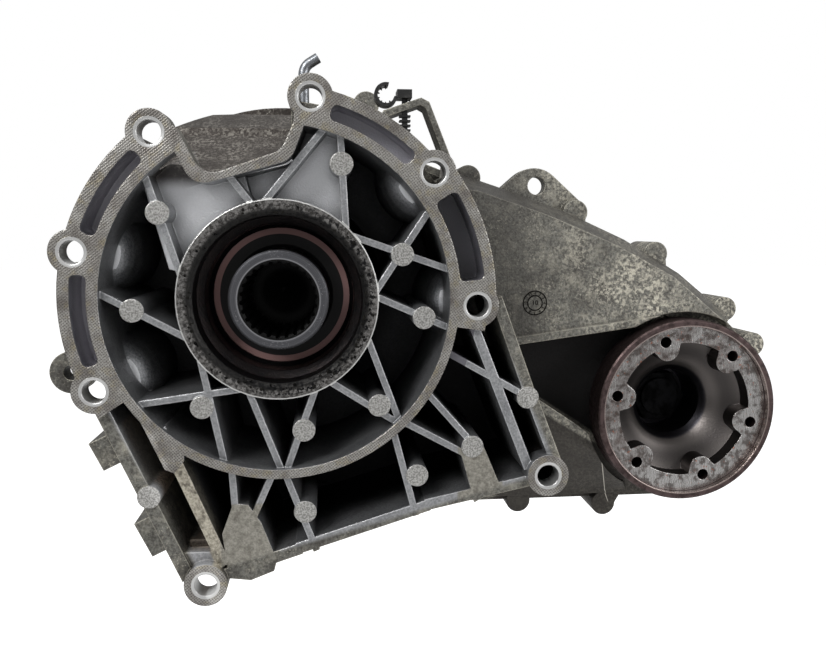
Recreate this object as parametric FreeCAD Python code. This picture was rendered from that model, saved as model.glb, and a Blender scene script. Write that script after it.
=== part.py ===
import FreeCAD, Part
import math
import os

# Full-time four-wheel-drive transfer case, millimetres.
# The input axis is the Y axis, the transmission face lies in Y = 0 and the
# case runs back along +Y. +X is the side of the front output, +Z is up.

# --- transmission face -------------------------------------------------
EAR_CIRCLE_R = 100.0          # six of the eight bolt ears lie on this circle
EAR_ANGLES = (-2.0, 39.0, 80.0, 126.0, 166.0, 206.0)
LOW_EAR = (-39.5, -145.5)     # bottom ear, one of the points the case stands on
SIDE_EAR = (138.5, -93.5)     # ear beside the front output
EAR_R = 11.0
EAR_T = 12.0                  # length of the ear holes
EAR_HOLE_R = 5.75
EAR_CHAMFER = 1.5
EAR_CHAMFER_L = 0.3
SPANNER_R = 8.6               # room for the bolt head behind an ear
FLANGE_R = 105.0
BELL_R = 86.0                 # inside of the round bell
BELL_WALL = 4.6
LAND = 5.5                    # machined land beside the lightening pockets
POCKET_DEPTH = 20.0
POCKET_CORNER_R = 3.0
CHEEK = 4.5                   # the flange is wider by this above the right ear
CHEEK_ARC = (-2.0, 36.0)
POCKETS = ((5.5, 31.5), (46.0, 73.5), (132.5, 160.0), (172.0, 199.0))
BULGE_R = 25.0                # cast swell round an ear column, inside the bell
BULGE_EARS = (-2.0, 39.0, 166.0, 206.0)

# --- ribbed web --------------------------------------------------------
RIB_TOP = 4.0                 # ribs lie this far below the machined face
RIB_T = 3.4
PAD_R = 5.8                   # ejector pads on the ribs
PAD_TOP = 3.0
FLOOR_Y = 84.0                # front of the web floor
BULGE_Y = 24.0                # front of the swells on the bell wall
FLOOR_T = 6.0
PLATE_Y = 20.0                # closed corner plates near the notch
HOLLOW = 10.0                 # the plate under the notch lies deeper by this
WALL = 6.0

# --- hub ---------------------------------------------------------------
HUB_R = 50.0
HUB_TOP = 2.0
PILOT_R = 42.0                # pilot bore for the transmission extension
PILOT_L = 14.0

# --- input and differential --------------------------------------------
SHAFT_R = 25.0                # input shaft at its seal
SPLINE_R = 18.2
SPLINE_TEETH = 26
SPLINE_DEPTH = 1.8
SPLINE_L = 58.0
INNER_R = 18.0                # input shaft inside the sun gear
SHAFT_NOSE = 4.5              # front end of the input shaft
SEAL_Y = 36.0
SEAL_T = 8.0
SEAL_R = 36.0
BEARING_GAP = 3.0             # shoulder between a seal and its bearing
BIG_BEARING_T = 16.0
BIG_BEARING_R = 45.0
ROLLERS = 12
SUN_BEARING_R = 50.0
SUN_SHAFT_R = 28.0
BUSH_WALL = 2.0
RUN = 0.05                    # radial clearance of a running fit
FREE = 0.3                    # clearance of parts that pass each other
MODULE = 4.0
SUN_TEETH = 15
PLANET_TEETH = 12
PLANETS = 3
PRESSURE = math.radians(20.0)
BACKLASH = 0.36
GEAR_T = 18.0
PIN_R = 8.0
CARRIER_T = 7.0
DRUM_WALL = 4.5
DRUM_END_T = 6.0

# --- chain drive -------------------------------------------------------
OUT_X = 237.5                 # front output axis
OUT_Z = -72.5
SPROCKET_Y = 112.0
SPROCKET_T = 22.0
SPROCKET_TIP_R = 44.0
SPROCKET_TOOTH = 4.2
SPROCKET_TEETH = 30
CHAIN_H = 8.0
CHAIN_PITCH = 9.6
CHAIN_SIDE = 1.0              # sprocket width left bare on each side

# --- front output flange -----------------------------------------------
RIM_Y = 50.5
RIM_R = 54.7
RIM_WALL = 4.0
RIM_STEP = 4.1                # rim stands proud of the bolting face
RIM_L = 18.0
BOLT_CIRCLE_R = 43.0          # both output flanges: six M8 on 86 mm
BOLT_ANGLE = 48.0
FLANGE_BOLTS = 6
TAP_R = 3.35
SCALLOP_R = 40.5              # bowl wall between the bolt bosses
LOBE_R = 9.2                  # lobe round each tapped hole, and its narrower tip
LOBE_TIP_R = 7.2
LOBE_IN_R = 31.5              # reach of the lobes towards the axis
BOWL_FLOOR_Y = 78.0
BOWL_FLOOR_R = 23.5
TUBE_BORE_R = 20.5
TUBE_R = 25.0
TUBE_END_T = 6.0
OUT_SEAL_Y = 80.0
OUT_BEARING_Y = 92.0
OUT_BEARING_R = 42.5
SMALL_BEARING_R = 35.0
SMALL_BEARING_T = 14.0
END_SHAFT_R = 15.0
OUT_SHAFT_R = 20.0
STUD_R = 12.0
NUT_T = 10.0

# --- chain case --------------------------------------------------------
JOINT_Y = 100.0               # joint between the two casings
WING_Y = 60.0                 # front face of the wing
CASE_Y = 82.0                 # front face of the chain case
LIP_T = 4.5                   # rounded lip along the lower edge of the wing
LIP_H = 1.5
CASE_CENTRE = (-6.0, -2.0)
CASE_STEP = 2.0               # case round the input axis stands out past the dome by this
SHOULDER = (OUT_X - 72.5, -40.0)
SHOULDER_R = 75.0
OUT_CASE_R = 61.5
SUMP = (62.0, -78.0)
SUMP_R = 56.0
DRAFT = 1.5                   # the front face is smaller by this much
JOINT_FLANGE = 3.5            # flange at the joint stands proud by this
JOINT_FLANGE_T = 9.0
WELL_R = 58.5                 # round well that the output flange sits in
WELL_Y = 78.0
CHAIN_REAR_Y = 138.0          # inside of the rear wall behind the chain
LUG_R = 7.6
LUG_FRONT = 16.0              # length of a lug on the front casing
LUG_REAR = 14.0
HEAD_POCKET_L = 14.0          # room for a bolt head behind a lug
BOLT_R = 4.0                  # M8 casing bolts
BOLT_HEAD_R = 6.8
BOLT_HEAD_T = 8.0
BOLT_GRIP = 12.0              # thread depth in the front lugs
DOWEL_R = 6.0                 # ring dowels round two of the bolts
DOWEL_L = 12.0
DOWEL_LUGS = (1, 9)

# --- rear casing and rear output ---------------------------------------
DOME_WALL = 6.0
DRUM_GAP = 4.5                # room between the ring gear's drum and the dome
REAR_NECK_R = 52.0
REAR_SEAL_R = 36.0
REAR_FLANGE_R = 52.0
REAR_FLANGE_T = 10.0
REAR_STUD_R = 12.0
DOME_RIBS = 10
MOUNT_CENTRE = (OUT_X - 47.5, OUT_Z + 10.5)  # four tapped bosses for the support bracket
MOUNT_SPACING = (96.0, 112.0)
MOUNT_R = 9.0
MOUNT_L = 14.0
MOUNT_TAP_R = 4.2
PLUG_R = 9.0
PLUG_T = 6.0

# --- shapes of the castings in the XZ plane ----------------------------
# Notch between the two top ears as (x, z, corner radius), clockwise from its open left end.
NOTCH = [(-58.0, 130.0, 1.0), (-58.0, 84.0, 1.0), (-46.5, 84.0, 3.0), (-34.5, 60.0, 10.0), (3.0, 73.0, 10.0),
         (9.5, 87.0, 8.0), (7.5, 130.0, 1.0)]
# Each web rib runs from the hub at the first angle to the bell at the second.
WEB_RIBS = ((166.5, 135.5), (203.5, 177.0), (214.5, 251.0), (248.0, 216.0), (250.5, 270.0),
            (292.0, 271.5), (300.5, 313.0), (336.5, 313.5), (3.5, 30.5), (42.0, 9.5),
            (45.0, 69.0), (98.0, 74.0), (2.0, -10.0))
WEB_PADS = ((-57.0, 43.0), (-71.0, -4.5), (-39.0, -53.5), (11.5, -66.5), (50.0, -54.5), (62.0, 22.5),
            (32.0, 67.0), (73.0, -9.5))
# Corners of the skirt below the bell, clockwise from the left ear.
SKIRT = [(-96.0, -46.0), (100.0, -3.0), (113.5, -10.0), (134.0, -56.0), (146.0, -84.0),
         (134.0, -99.5), (76.0, -111.5), (9.0, -132.5), (-28.0, -144.0), (-50.0, -142.0)]
PARTING = ((-60.0, -64.0), (-30.0, -137.0))     # inner wall beside the long left channel
PARTING_WEDGE = [(-69.0, -58.0), (-57.5, -84.0), (-53.0, -86.0), (-48.0, -80.0), (-48.0, -74.0)]
CHANNEL_END = [(-57.0, -130.0), (-52.0, -139.5), (-30.0, -139.5), (-34.0, -130.0)]
SIDE_BOSS = 13.5              # reach of the square bosses beside the long channel
# Lugs of the joint, by their centres in the joint plane.
LUGS = ((48.0, 108.0), (109.0, 66.0), (OUT_X - 61.5, 45.5), (OUT_X - 9.5, OUT_Z + 92.5),
        (OUT_X + 37.5, OUT_Z + 57.5), (OUT_X + 57.5, OUT_Z + 34.5), (OUT_X + 50.5, OUT_Z - 40.5),
        (OUT_X - 38.5, OUT_Z - 67.5), (OUT_X - 94.5, OUT_Z - 63.5), (30.0, -131.0), (-62.0, -92.0),
        (-112.0, -18.0), (-92.0, 66.0), (-12.0, 96.5))
WING_RIDGE = [(OUT_X - 5.5, OUT_Z + 55.5), (OUT_X - 42.5, OUT_Z + 50.5), (128.0, -31.0), (96.0, -30.0)]
WING_FACE = [(88.0, 60.0), (111.0, 57.0), (152.0, 43.5), (OUT_X - 43.5, 26.0), (OUT_X - 7.5, 7.0),
             (OUT_X + 26.5, OUT_Z + 51.5), (OUT_X + 34.5, OUT_Z + 32.5)] + WING_RIDGE
WING_FOOT = [(92.0, 72.0), (126.0, 61.0), (168.0, 46.5), (OUT_X - 30.5, 29.0), (OUT_X + 5.5, 8.0),
             (OUT_X + 36.5, OUT_Z + 55.5), (OUT_X + 44.5, OUT_Z + 27.5)] + WING_RIDGE
STRUT_FACE = [(140.0, -60.0), (170.0, -80.0), (OUT_X - 34.5, OUT_Z - 31.5), (OUT_X - 38.5, OUT_Z - 37.5),
              (166.0, -88.0), (136.0, -68.0)]
STRUT_FOOT = [(140.0, -60.0), (170.0, -80.0), (OUT_X - 31.5, OUT_Z - 30.5), (OUT_X - 23.5, OUT_Z - 59.5),
              (160.0, -131.5), (118.0, -128.0)]
LIFT_HOLE = (153.0, 62.0)
LIFT_HOLE_R = 5.5
EYE = (-114.5, -42.0)
EYE_R = 11.5
EYE_HOLE_R = 4.2
EYE_Y = 46.0
EYE_T = 12.0
BREATHER_X = 12.0
BREATHER_Y = 78.0
BREATHER_R = 3.0
CLIP_POST = (58.0, 96.0)
CLIP_Y = 44.0
BRACKET_Y = 44.0
PLUG_SPOTS = ((96.0, -112.0), (165.0, 12.0))


def vec(x, y, z):
    """Point or direction."""
    return FreeCAD.Vector(x, y, z)


AXIS = vec(0, 1, 0)
INPUT = (0.0, 0.0)
OUTPUT = (OUT_X, OUT_Z)


def polar(radius, degrees, centre=INPUT):
    """Point in the XZ plane at an angle from +X towards +Z."""
    a = math.radians(degrees)
    return (centre[0] + radius * math.cos(a), centre[1] + radius * math.sin(a))


def rod(centre, radius, y0, y1):
    """Round bar along Y."""
    return Part.makeCylinder(radius, y1 - y0, vec(centre[0], y0, centre[1]), AXIS)


def tube(centre, outer, inner, y0, y1):
    """Round tube along Y."""
    return rod(centre, outer, y0, y1).cut(rod(centre, inner, y0, y1))


def turned(centre, profile):
    """Solid of revolution about an axis along Y from (radius, y) corners."""
    corners = [vec(centre[0] + r, y, centre[1]) for r, y in profile]
    face = Part.Face(Part.makePolygon(corners + corners[:1]))
    return face.revolve(vec(centre[0], 0, centre[1]), AXIS, 360)


def prism(points, y0, y1):
    """Straight prism along Y over an XZ polygon."""
    corners = [vec(x, y0, z) for x, z in points]
    face = Part.Face(Part.makePolygon(corners + corners[:1]))
    return face.extrude(vec(0, y1 - y0, 0))


def rounded_wire(points, y):
    """Closed outline with an arc of its own radius at each (x, z, r) corner."""
    edges = []
    ends = []
    count = len(points)
    for i in range(count):
        here = vec(points[i][0], y, points[i][1])
        before = vec(points[i - 1][0], y, points[i - 1][1])
        after = vec(points[(i + 1) % count][0], y, points[(i + 1) % count][1])
        d0 = (before - here).normalize()
        d1 = (after - here).normalize()
        half = d0.getAngle(d1) / 2
        reach = points[i][2] / math.tan(half)
        start = here + d0 * reach
        end = here + d1 * reach
        middle = here + (d0 + d1).normalize() * (points[i][2] / math.sin(half) - points[i][2])
        ends.append((start, middle, end))
    for i in range(count):
        start, middle, end = ends[i]
        edges.append(Part.Arc(start, middle, end).toShape())
        edges.append(Part.makeLine(end, ends[(i + 1) % count][0]))
    return Part.Wire(edges)


def rounded_prism(points, y0, y1):
    """Prism along Y over an outline with rounded corners."""
    return Part.Face(rounded_wire(points, y0)).extrude(vec(0, y1 - y0, 0))


def sector(r0, r1, a0, a1, y0, y1):
    """Prism along Y over part of a ring between two radii and two angles."""
    mid = (a0 + a1) / 2

    def at(radius, angle):
        x, z = polar(radius, angle)
        return vec(x, y0, z)

    edges = [
        Part.Arc(at(r0, a0), at(r0, mid), at(r0, a1)).toShape(),
        Part.makeLine(at(r0, a1), at(r1, a1)),
        Part.Arc(at(r1, a1), at(r1, mid), at(r1, a0)).toShape(),
        Part.makeLine(at(r1, a0), at(r0, a0)),
    ]
    return Part.Face(Part.Wire(edges)).extrude(vec(0, y1 - y0, 0))


def belt_wire(circles, y):
    """Outline of a belt drawn tight round circles (x, z, r) named clockwise."""
    count = len(circles)
    normals = []
    for i in range(count):
        x0, z0, r0 = circles[i]
        x1, z1, r1 = circles[(i + 1) % count]
        span = math.hypot(x1 - x0, z1 - z0)
        normals.append(math.atan2(z1 - z0, x1 - x0) + math.acos((r0 - r1) / span))
    edges = []
    for i in range(count):
        x, z, r = circles[i]
        a_in = normals[i - 1]
        a_out = normals[i]
        while a_out > a_in:
            a_out -= 2 * math.pi
        mid = (a_in + a_out) / 2
        arc = [vec(x + r * math.cos(a), y, z + r * math.sin(a)) for a in (a_in, mid, a_out)]
        edges.append(Part.Arc(*arc).toShape())
        x1, z1, r1 = circles[(i + 1) % count]
        a = normals[i]
        nxt = vec(x1 + r1 * math.cos(a), y, z1 + r1 * math.sin(a))
        edges.append(Part.makeLine(arc[2], nxt))
    return Part.Wire(edges)


def case_circles(grow):
    """The four circles that the chain case is drawn round."""
    return [
        (CASE_CENTRE[0], CASE_CENTRE[1], CASE_R + grow),
        (SHOULDER[0], SHOULDER[1], SHOULDER_R + grow),
        (OUT_X, OUT_Z, OUT_CASE_R + grow),
        (SUMP[0], SUMP[1], SUMP_R + grow),
    ]


def case_prism(grow, y0, y1):
    """Straight prism of the chain case outline."""
    return Part.Face(belt_wire(case_circles(grow), y0)).extrude(vec(0, y1 - y0, 0))


def wall(start, end, thickness, y0, y1):
    """Upright web between two XZ points."""
    dx = end[0] - start[0]
    dz = end[1] - start[1]
    length = math.hypot(dx, dz)
    nx = -dz / length * thickness / 2
    nz = dx / length * thickness / 2
    return prism([
        (start[0] + nx, start[1] + nz),
        (end[0] + nx, end[1] + nz),
        (end[0] - nx, end[1] - nz),
        (start[0] - nx, start[1] - nz),
    ], y0, y1)


def between(start, end, share):
    """Point part of the way from one XZ point to another."""
    return (start[0] + (end[0] - start[0]) * share, start[1] + (end[1] - start[1]) * share)


def write(name, shape):
    """One STEP file for one node."""
    shape.exportStep("parts/%s.step" % name)


def group(solids):
    """Separate solids that share a node."""
    return Part.makeCompound(solids)


# --- gears and bearings ------------------------------------------------
def tooth_half_angle(teeth, radius, thin):
    """Half the tooth angle of an involute gear at a radius."""
    pitch_r = MODULE * teeth / 2
    base_r = pitch_r * math.cos(PRESSURE)
    involute = math.tan(PRESSURE) - PRESSURE
    local = math.acos(min(1.0, base_r / radius))
    return math.pi / (2 * teeth) - thin / (2 * pitch_r) + involute - (math.tan(local) - local)


def gear_outline(teeth, inner_r, outer_r, thin, first_deg):
    """Corners of a toothed disc with a tooth centred at first_deg."""
    base_r = MODULE * teeth / 2 * math.cos(PRESSURE)
    flank_r = max(inner_r, base_r)
    radii = [flank_r, (flank_r + outer_r) / 2, outer_r]
    points = []
    for i in range(teeth):
        mid = math.radians(first_deg) + 2 * math.pi * i / teeth
        side = [(r, tooth_half_angle(teeth, r, thin)) for r in radii]
        if flank_r > inner_r:
            side.insert(0, (inner_r, side[0][1]))
        for r, half in side:
            points.append((r * math.cos(mid - half), r * math.sin(mid - half)))
        for r, half in reversed(side):
            points.append((r * math.cos(mid + half), r * math.sin(mid + half)))
    return points


def shifted(points, centre):
    """Outline moved to a centre."""
    return [(x + centre[0], z + centre[1]) for x, z in points]


def bearing(centre, y0, length, bore_r, outer_r):
    """Outer race, inner race and rollers of a roller bearing."""
    race = (outer_r - bore_r) * 0.28
    roller_r = (outer_r - bore_r - 2 * race) / 2 - RUN
    pitch_r = (outer_r + bore_r) / 2
    outer = tube(centre, outer_r, outer_r - race, y0, y0 + length)
    inner = tube(centre, bore_r + race, bore_r, y0, y0 + length)
    rollers = []
    for i in range(ROLLERS):
        spot = polar(pitch_r, 360.0 * i / ROLLERS, centre)
        rollers.append(rod(spot, roller_r, y0 + 2, y0 + length - 2))
    return outer, inner, group(rollers)


def lip_seal(centre, y0, length, bore_r, outer_r):
    """Oil seal: steel-backed outer case with a rubber lip reaching the shaft."""
    rib = 2.2
    return turned(centre, [
        (outer_r, y0),
        (outer_r, y0 + length),
        (outer_r - rib, y0 + length),
        (outer_r - rib, y0 + rib),
        (bore_r + 2 * rib, y0 + rib),
        (bore_r + FREE, y0 + length - rib),
        (bore_r + FREE, y0 + rib),
        (bore_r + rib, y0),
    ])


# --- positions along the axes that follow from the sizes ----------------
INPUT_BEARING_Y = SEAL_Y + SEAL_T + BEARING_GAP
SUN_BEARING_Y = OUT_BEARING_Y
SUN_Y = SPROCKET_Y + SPROCKET_T + 6.0
PLANET_R = MODULE * PLANET_TEETH / 2
SUN_R = MODULE * SUN_TEETH / 2
RING_TEETH = SUN_TEETH + 2 * PLANET_TEETH
RING_R = MODULE * RING_TEETH / 2
RING_ROOT_R = RING_R + 1.25 * MODULE
DRUM_R = RING_ROOT_R + DRUM_WALL
DOME_R = DRUM_R + DRUM_GAP + DOME_WALL
CASE_R = DOME_R + CASE_STEP    # case round the input axis, outside
CARRIER_Y = SUN_Y + GEAR_T + 3.0
DRUM_END_Y = CARRIER_Y + CARRIER_T + 4.0
REAR_WALL_Y = DRUM_END_Y + DRUM_END_T + 5.0
REAR_BEARING_Y = REAR_WALL_Y + 2.0
REAR_SEAL_Y = REAR_BEARING_Y + BIG_BEARING_T + BEARING_GAP
NECK_END_Y = REAR_SEAL_Y + SEAL_T + 1.0
REAR_FLANGE_Y = NECK_END_Y + 8.0
CHAIN_PATH_R = SPROCKET_TIP_R + FREE + CHAIN_H / 2
TUBE_END_Y = OUT_BEARING_Y + BIG_BEARING_T + 2.0
SMALL_BEARING_Y = SPROCKET_Y + SPROCKET_T + 4.0
EAR_HOLES = [polar(EAR_CIRCLE_R, a) for a in EAR_ANGLES] + [LOW_EAR, SIDE_EAR]


# --- front casing ------------------------------------------------------
def ears():
    """Eight bolt ears, the lower two on necks that reach the skirt walls."""
    discs = [rod(spot, EAR_R, 0, EAR_T) for spot in EAR_HOLES]
    return discs


def bell():
    """Flange ring with its round bell, open below the side ears."""
    upper = sector(BELL_R, FLANGE_R, -9, 213, 0, FLOOR_Y + FLOOR_T)
    lower = tube(INPUT, BELL_R + BELL_WALL, BELL_R, 0, FLOOR_Y + FLOOR_T)
    floor = rod(INPUT, BELL_R + 1, FLOOR_Y, FLOOR_Y + FLOOR_T)
    cheek = sector(FLANGE_R - 2, FLANGE_R + CHEEK, CHEEK_ARC[0], CHEEK_ARC[1], 0, FLOOR_Y + FLOOR_T)
    return [upper, lower, floor, cheek]


def bell_pockets():
    """Lightening pockets in the flange, one between each pair of ears."""
    inner = BELL_R + LAND
    outer = FLANGE_R - LAND
    pockets = []
    for a0, a1 in POCKETS:
        reach = outer + CHEEK if a1 < CHEEK_ARC[1] else outer
        pocket = sector(inner, reach, a0, a1, -1, POCKET_DEPTH)
        upright = [edge for edge in pocket.Edges if abs(edge.tangentAt(edge.FirstParameter).y) > 0.99]
        pockets.append(pocket.makeFillet(POCKET_CORNER_R, upright))
    return pockets


def bell_bulges():
    """Cast swells on the bell wall round the ear columns, rounded at the front."""
    inside = rod(INPUT, BELL_R + 1, BULGE_Y, FLOOR_Y + 1)
    nose = [(0, BULGE_Y), (0.64 * BULGE_R, BULGE_Y + 1), (0.88 * BULGE_R, BULGE_Y + 6), (BULGE_R, BULGE_Y + 16),
            (BULGE_R, FLOOR_Y + 1), (0, FLOOR_Y + 1)]
    return [turned(polar(EAR_CIRCLE_R, a), nose).common(inside) for a in BULGE_EARS]


def notch_outline(grow):
    """The notch between the two top ears, larger by grow for its wall."""
    far_left, step, left, low, right, rise, end = NOTCH
    return [
        (far_left[0] - grow, far_left[1], far_left[2]),
        (step[0] - grow, step[1] - grow, step[2]),
        (left[0] - grow, left[1] - grow, left[2]),
        (low[0] - grow, low[1] - grow, low[2]),
        (right[0] + grow, right[1] - grow, right[2]),
        (rise[0] + grow, rise[1] - grow / 2, rise[2]),
        (end[0] + grow, end[1], end[2]),
    ]


def notch_cut():
    """Notch through the flange, then the sloping roof behind it."""
    front = rounded_prism(NOTCH, -1, EAR_T)
    top = NOTCH[0][1]
    roof = [
        vec(0, EAR_T, 62), vec(0, EAR_T, top), vec(0, CASE_Y, top), vec(0, CASE_Y, 101),
        vec(0, 64, 98), vec(0, 48, 89), vec(0, 47, 85),
    ]
    left = EAR_HOLES[3][0] + 1
    right = NOTCH[6][0]
    corners = [p + vec(left, 0, 0) for p in roof]
    slope = Part.Face(Part.makePolygon(corners + corners[:1])).extrude(vec(right - left, 0, 0))
    return [front, slope]


def hub():
    """Hub with its pilot bore, seal seat and the seats of two bearings."""
    skin = 7.0
    back_y = SUN_BEARING_Y + BIG_BEARING_T
    return turned(INPUT, [
        (HUB_R, HUB_TOP),
        (HUB_R, INPUT_BEARING_Y - 6),
        (BIG_BEARING_R + skin, INPUT_BEARING_Y + 4),
        (BIG_BEARING_R + skin, FLOOR_Y - 14),
        (SUN_BEARING_R + skin, SUN_BEARING_Y - 8),
        (SUN_BEARING_R + skin, back_y - 1),
        (SUN_BEARING_R, back_y - 1),
        (SUN_BEARING_R, SUN_BEARING_Y),
        (BIG_BEARING_R, SUN_BEARING_Y - 2),
        (BIG_BEARING_R, INPUT_BEARING_Y),
        (SEAL_R - 3, INPUT_BEARING_Y),
        (SEAL_R - 3, SEAL_Y + SEAL_T),
        (SEAL_R, SEAL_Y + SEAL_T),
        (SEAL_R, SEAL_Y - 2),
        (SEAL_R + 2, SEAL_Y - 4),
        (SEAL_R + 2, HUB_TOP + PILOT_L + 3),
        (PILOT_R, HUB_TOP + PILOT_L),
        (PILOT_R, HUB_TOP + 2),
        (PILOT_R + 2, HUB_TOP),
    ])


def web():
    """Ribs from the hub to the bell with the ejector pads that stand on them."""
    solids = []
    for hub_deg, bell_deg in WEB_RIBS:
        start = polar(HUB_R - 2, hub_deg)
        end = polar(BELL_R + 2, bell_deg)
        solids.append(wall(start, end, RIB_T, RIB_TOP, FLOOR_Y + 1))
    for spot in WEB_PADS:
        solids.append(rod(spot, PAD_R, PAD_TOP, FLOOR_Y + 1))
    hub_side = polar(HUB_R - 2, 104)
    notch_foot = (NOTCH[3][0] + 11, NOTCH[3][1] + 2)
    solids.append(wall(hub_side, notch_foot, RIB_T, RIB_TOP, FLOOR_Y + 1))
    return solids


def corner_plates():
    """Closed plates between hub and notch, and between the two upper ribs."""
    left = sector(HUB_R - 1, BELL_R + 1, 105, 165, PLATE_Y, FLOOR_Y + 1)
    rib = wall(polar(HUB_R, WEB_RIBS[0][0]), polar(BELL_R, WEB_RIBS[0][1]), 60, PLATE_Y - 1, FLOOR_Y + 2)
    outward = polar(36, 196)
    rib.translate(vec(outward[0], 0, outward[1]))
    right = prism([polar(HUB_R - 1, 98), polar(BELL_R, 74), polar(BELL_R, 69), polar(HUB_R - 1, 45),
                   polar(HUB_R - 3, 70)], PLATE_Y, FLOOR_Y + 1)
    middle = sector(HUB_R - 1, BELL_R + 1, 70, 106, PLATE_Y + HOLLOW, FLOOR_Y + 1)
    return [left.cut(rib), right, middle]


def skirt():
    """Walls, floor, blocks and ribs that carry the two lower ears."""
    left_top, right_top, shoulder, knee, side, corner, low_a, low_b, low_c, low_d = SKIRT
    cast = RIB_TOP
    half = WALL / 2
    back = FLOOR_Y + FLOOR_T
    solids = [
        prism([left_top, right_top, shoulder, knee, side, corner, low_a, low_b, low_c, low_d],
              FLOOR_Y, back),
        wall((left_top[0] + half, left_top[1] + 4), (LOW_EAR[0] - 9, LOW_EAR[1] + 2), WALL + 1, cast, back),
        wall(PARTING[0], PARTING[1], WALL, cast, back),
        prism(PARTING_WEDGE, 0, back),
        prism(CHANNEL_END, EAR_T / 2, back),
        wall((LOW_EAR[0] + 4, LOW_EAR[1] + 2), (low_b[0], low_b[1] + half), WALL, cast, back),
        wall((low_b[0] - 2, low_b[1] + half), (low_a[0], low_a[1] + half), WALL, cast, back),
        wall((low_a[0] - 2, low_a[1] + half), (SIDE_EAR[0] - 6, SIDE_EAR[1] - 3), WALL, cast, back),
        wall((shoulder[0] - half, shoulder[1] + 10), (knee[0] - half, knee[1]), WALL, cast, back),
        wall((knee[0] - half, knee[1] + 1), (SIDE_EAR[0] + 6, SIDE_EAR[1] + 4), WALL, cast, back),
        wall((96.5, -8.0), (SIDE_EAR[0] - 9.5, SIDE_EAR[1] + 3), WALL - 1, cast, back),
        rod(SIDE_EAR, EAR_R - 1.5, EAR_T - 1, back),
    ]
    foot = [(-25.0, -104.0), (-17.5, -105.0), (-11.0, -115.0), (-3.5, -135.5), (-5.0, -141.0), (-17.0, -145.5),
            (-28.0, -144.0), (-31.0, -120.0)]
    solids.append(prism(foot, cast, back))
    side_block = [(92.0, -79.0), (103.0, -74.0), (114.0, -100.0), (100.0, -108.0)]
    solids.append(prism(side_block, cast, back))
    ribs = ((polar(BELL_R + 3, 253.5), (-24.0, -108.0)), (polar(BELL_R + 3, 267), (-15.0, -112.0)),
            (polar(BELL_R + 3, 271), (17.0, -131.0)), (polar(BELL_R + 3, 310), (69.0, -114.0)),
            (polar(BELL_R + 3, 314.5), (94.0, -81.0)), (polar(BELL_R + 3, 327), (97.0, -74.0)),
            (polar(BELL_R + 3, 342), (126.0, -51.0)))
    for start, end in ribs:
        solids.append(wall(start, end, RIB_T, RIB_TOP, back))
    for spot in ((11.5, -109.5), (69.5, -92.0), (98.5, -77.5), (127.5, -52.0), (-66.5, -99.0)):
        solids.append(rod(spot, PAD_R, PAD_TOP, back))
    return solids


def side_bosses():
    """Two square bosses on the lower left wall of the skirt."""
    solids = []
    a, b = (SKIRT[0][0], SKIRT[0][1]), (SKIRT[9][0], SKIRT[9][1])
    for share, size in ((0.3, 16.0), (0.77, 20.0)):
        foot = between(a, b, share)
        length = math.hypot(b[0] - a[0], b[1] - a[1])
        along = ((b[0] - a[0]) / length, (b[1] - a[1]) / length)
        out = (along[1], -along[0])
        tip = (foot[0] + out[0] * SIDE_BOSS, foot[1] + out[1] * SIDE_BOSS)
        start = (foot[0] - out[0] * 4, foot[1] - out[1] * 4)
        solids.append(wall(start, tip, size, 14, 44))
    return solids


def lug_root(spot):
    """Point on the case wall that a lug's gusset runs to."""
    centre = OUTPUT if spot[0] > OUT_X - 60 else ((spot[0], -30.0) if spot[0] > 90 else INPUT)
    return between(spot, centre, 0.25)


def lugs(y0, y1):
    """Round bolt lugs with gussets to the case wall."""
    solids = []
    for spot in LUGS:
        solids.append(rod(spot, LUG_R, y0, y1))
        solids.append(wall(spot, lug_root(spot), 1.7 * LUG_R, y0, y1))
    return solids


def ruled(front, back, y0, y1):
    """Solid between two polygons with as many corners, at two depths."""
    rings = []
    for points, y in ((front, y0), (back, y1)):
        corners = [vec(x, y, z) for x, z in points]
        rings.append(Part.makePolygon(corners + corners[:1]))
    return Part.makeLoft(rings, True, True)


def chain_case_front():
    """Front half of the chain case: drafted wall, joint flange, wing and lower body."""
    skin = Part.makeLoft([belt_wire(case_circles(-DRAFT), CASE_Y),
                          belt_wire(case_circles(0), JOINT_Y)], True, True)
    flange = case_prism(JOINT_FLANGE, JOINT_Y - JOINT_FLANGE_T, JOINT_Y)
    wing = ruled(WING_FACE, WING_FOOT, WING_Y, CASE_Y + 1)
    lower = ruled(STRUT_FACE, STRUT_FOOT, WING_Y + 2, CASE_Y + 1)
    lip = [wall(start, end, LIP_T, WING_Y - LIP_H, CASE_Y + 1) for start, end in zip(WING_RIDGE, WING_RIDGE[1:])]
    return [skin, flange, wing, lower, *lip]


def output_boss():
    """Seal and bearing seats of the front output, at the foot of its well."""
    skin = 6.5
    back_y = OUT_BEARING_Y + BIG_BEARING_T
    return turned(OUTPUT, [
        (SEAL_R + skin, WELL_Y),
        (OUT_BEARING_R + skin, WELL_Y + 5),
        (OUT_BEARING_R + skin, back_y - 1),
        (OUT_BEARING_R, back_y - 1),
        (OUT_BEARING_R, OUT_BEARING_Y),
        (SEAL_R - 3, OUT_BEARING_Y),
        (SEAL_R - 3, OUT_SEAL_Y + SEAL_T),
        (SEAL_R, OUT_SEAL_Y + SEAL_T),
        (SEAL_R, WELL_Y),
    ])


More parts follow.
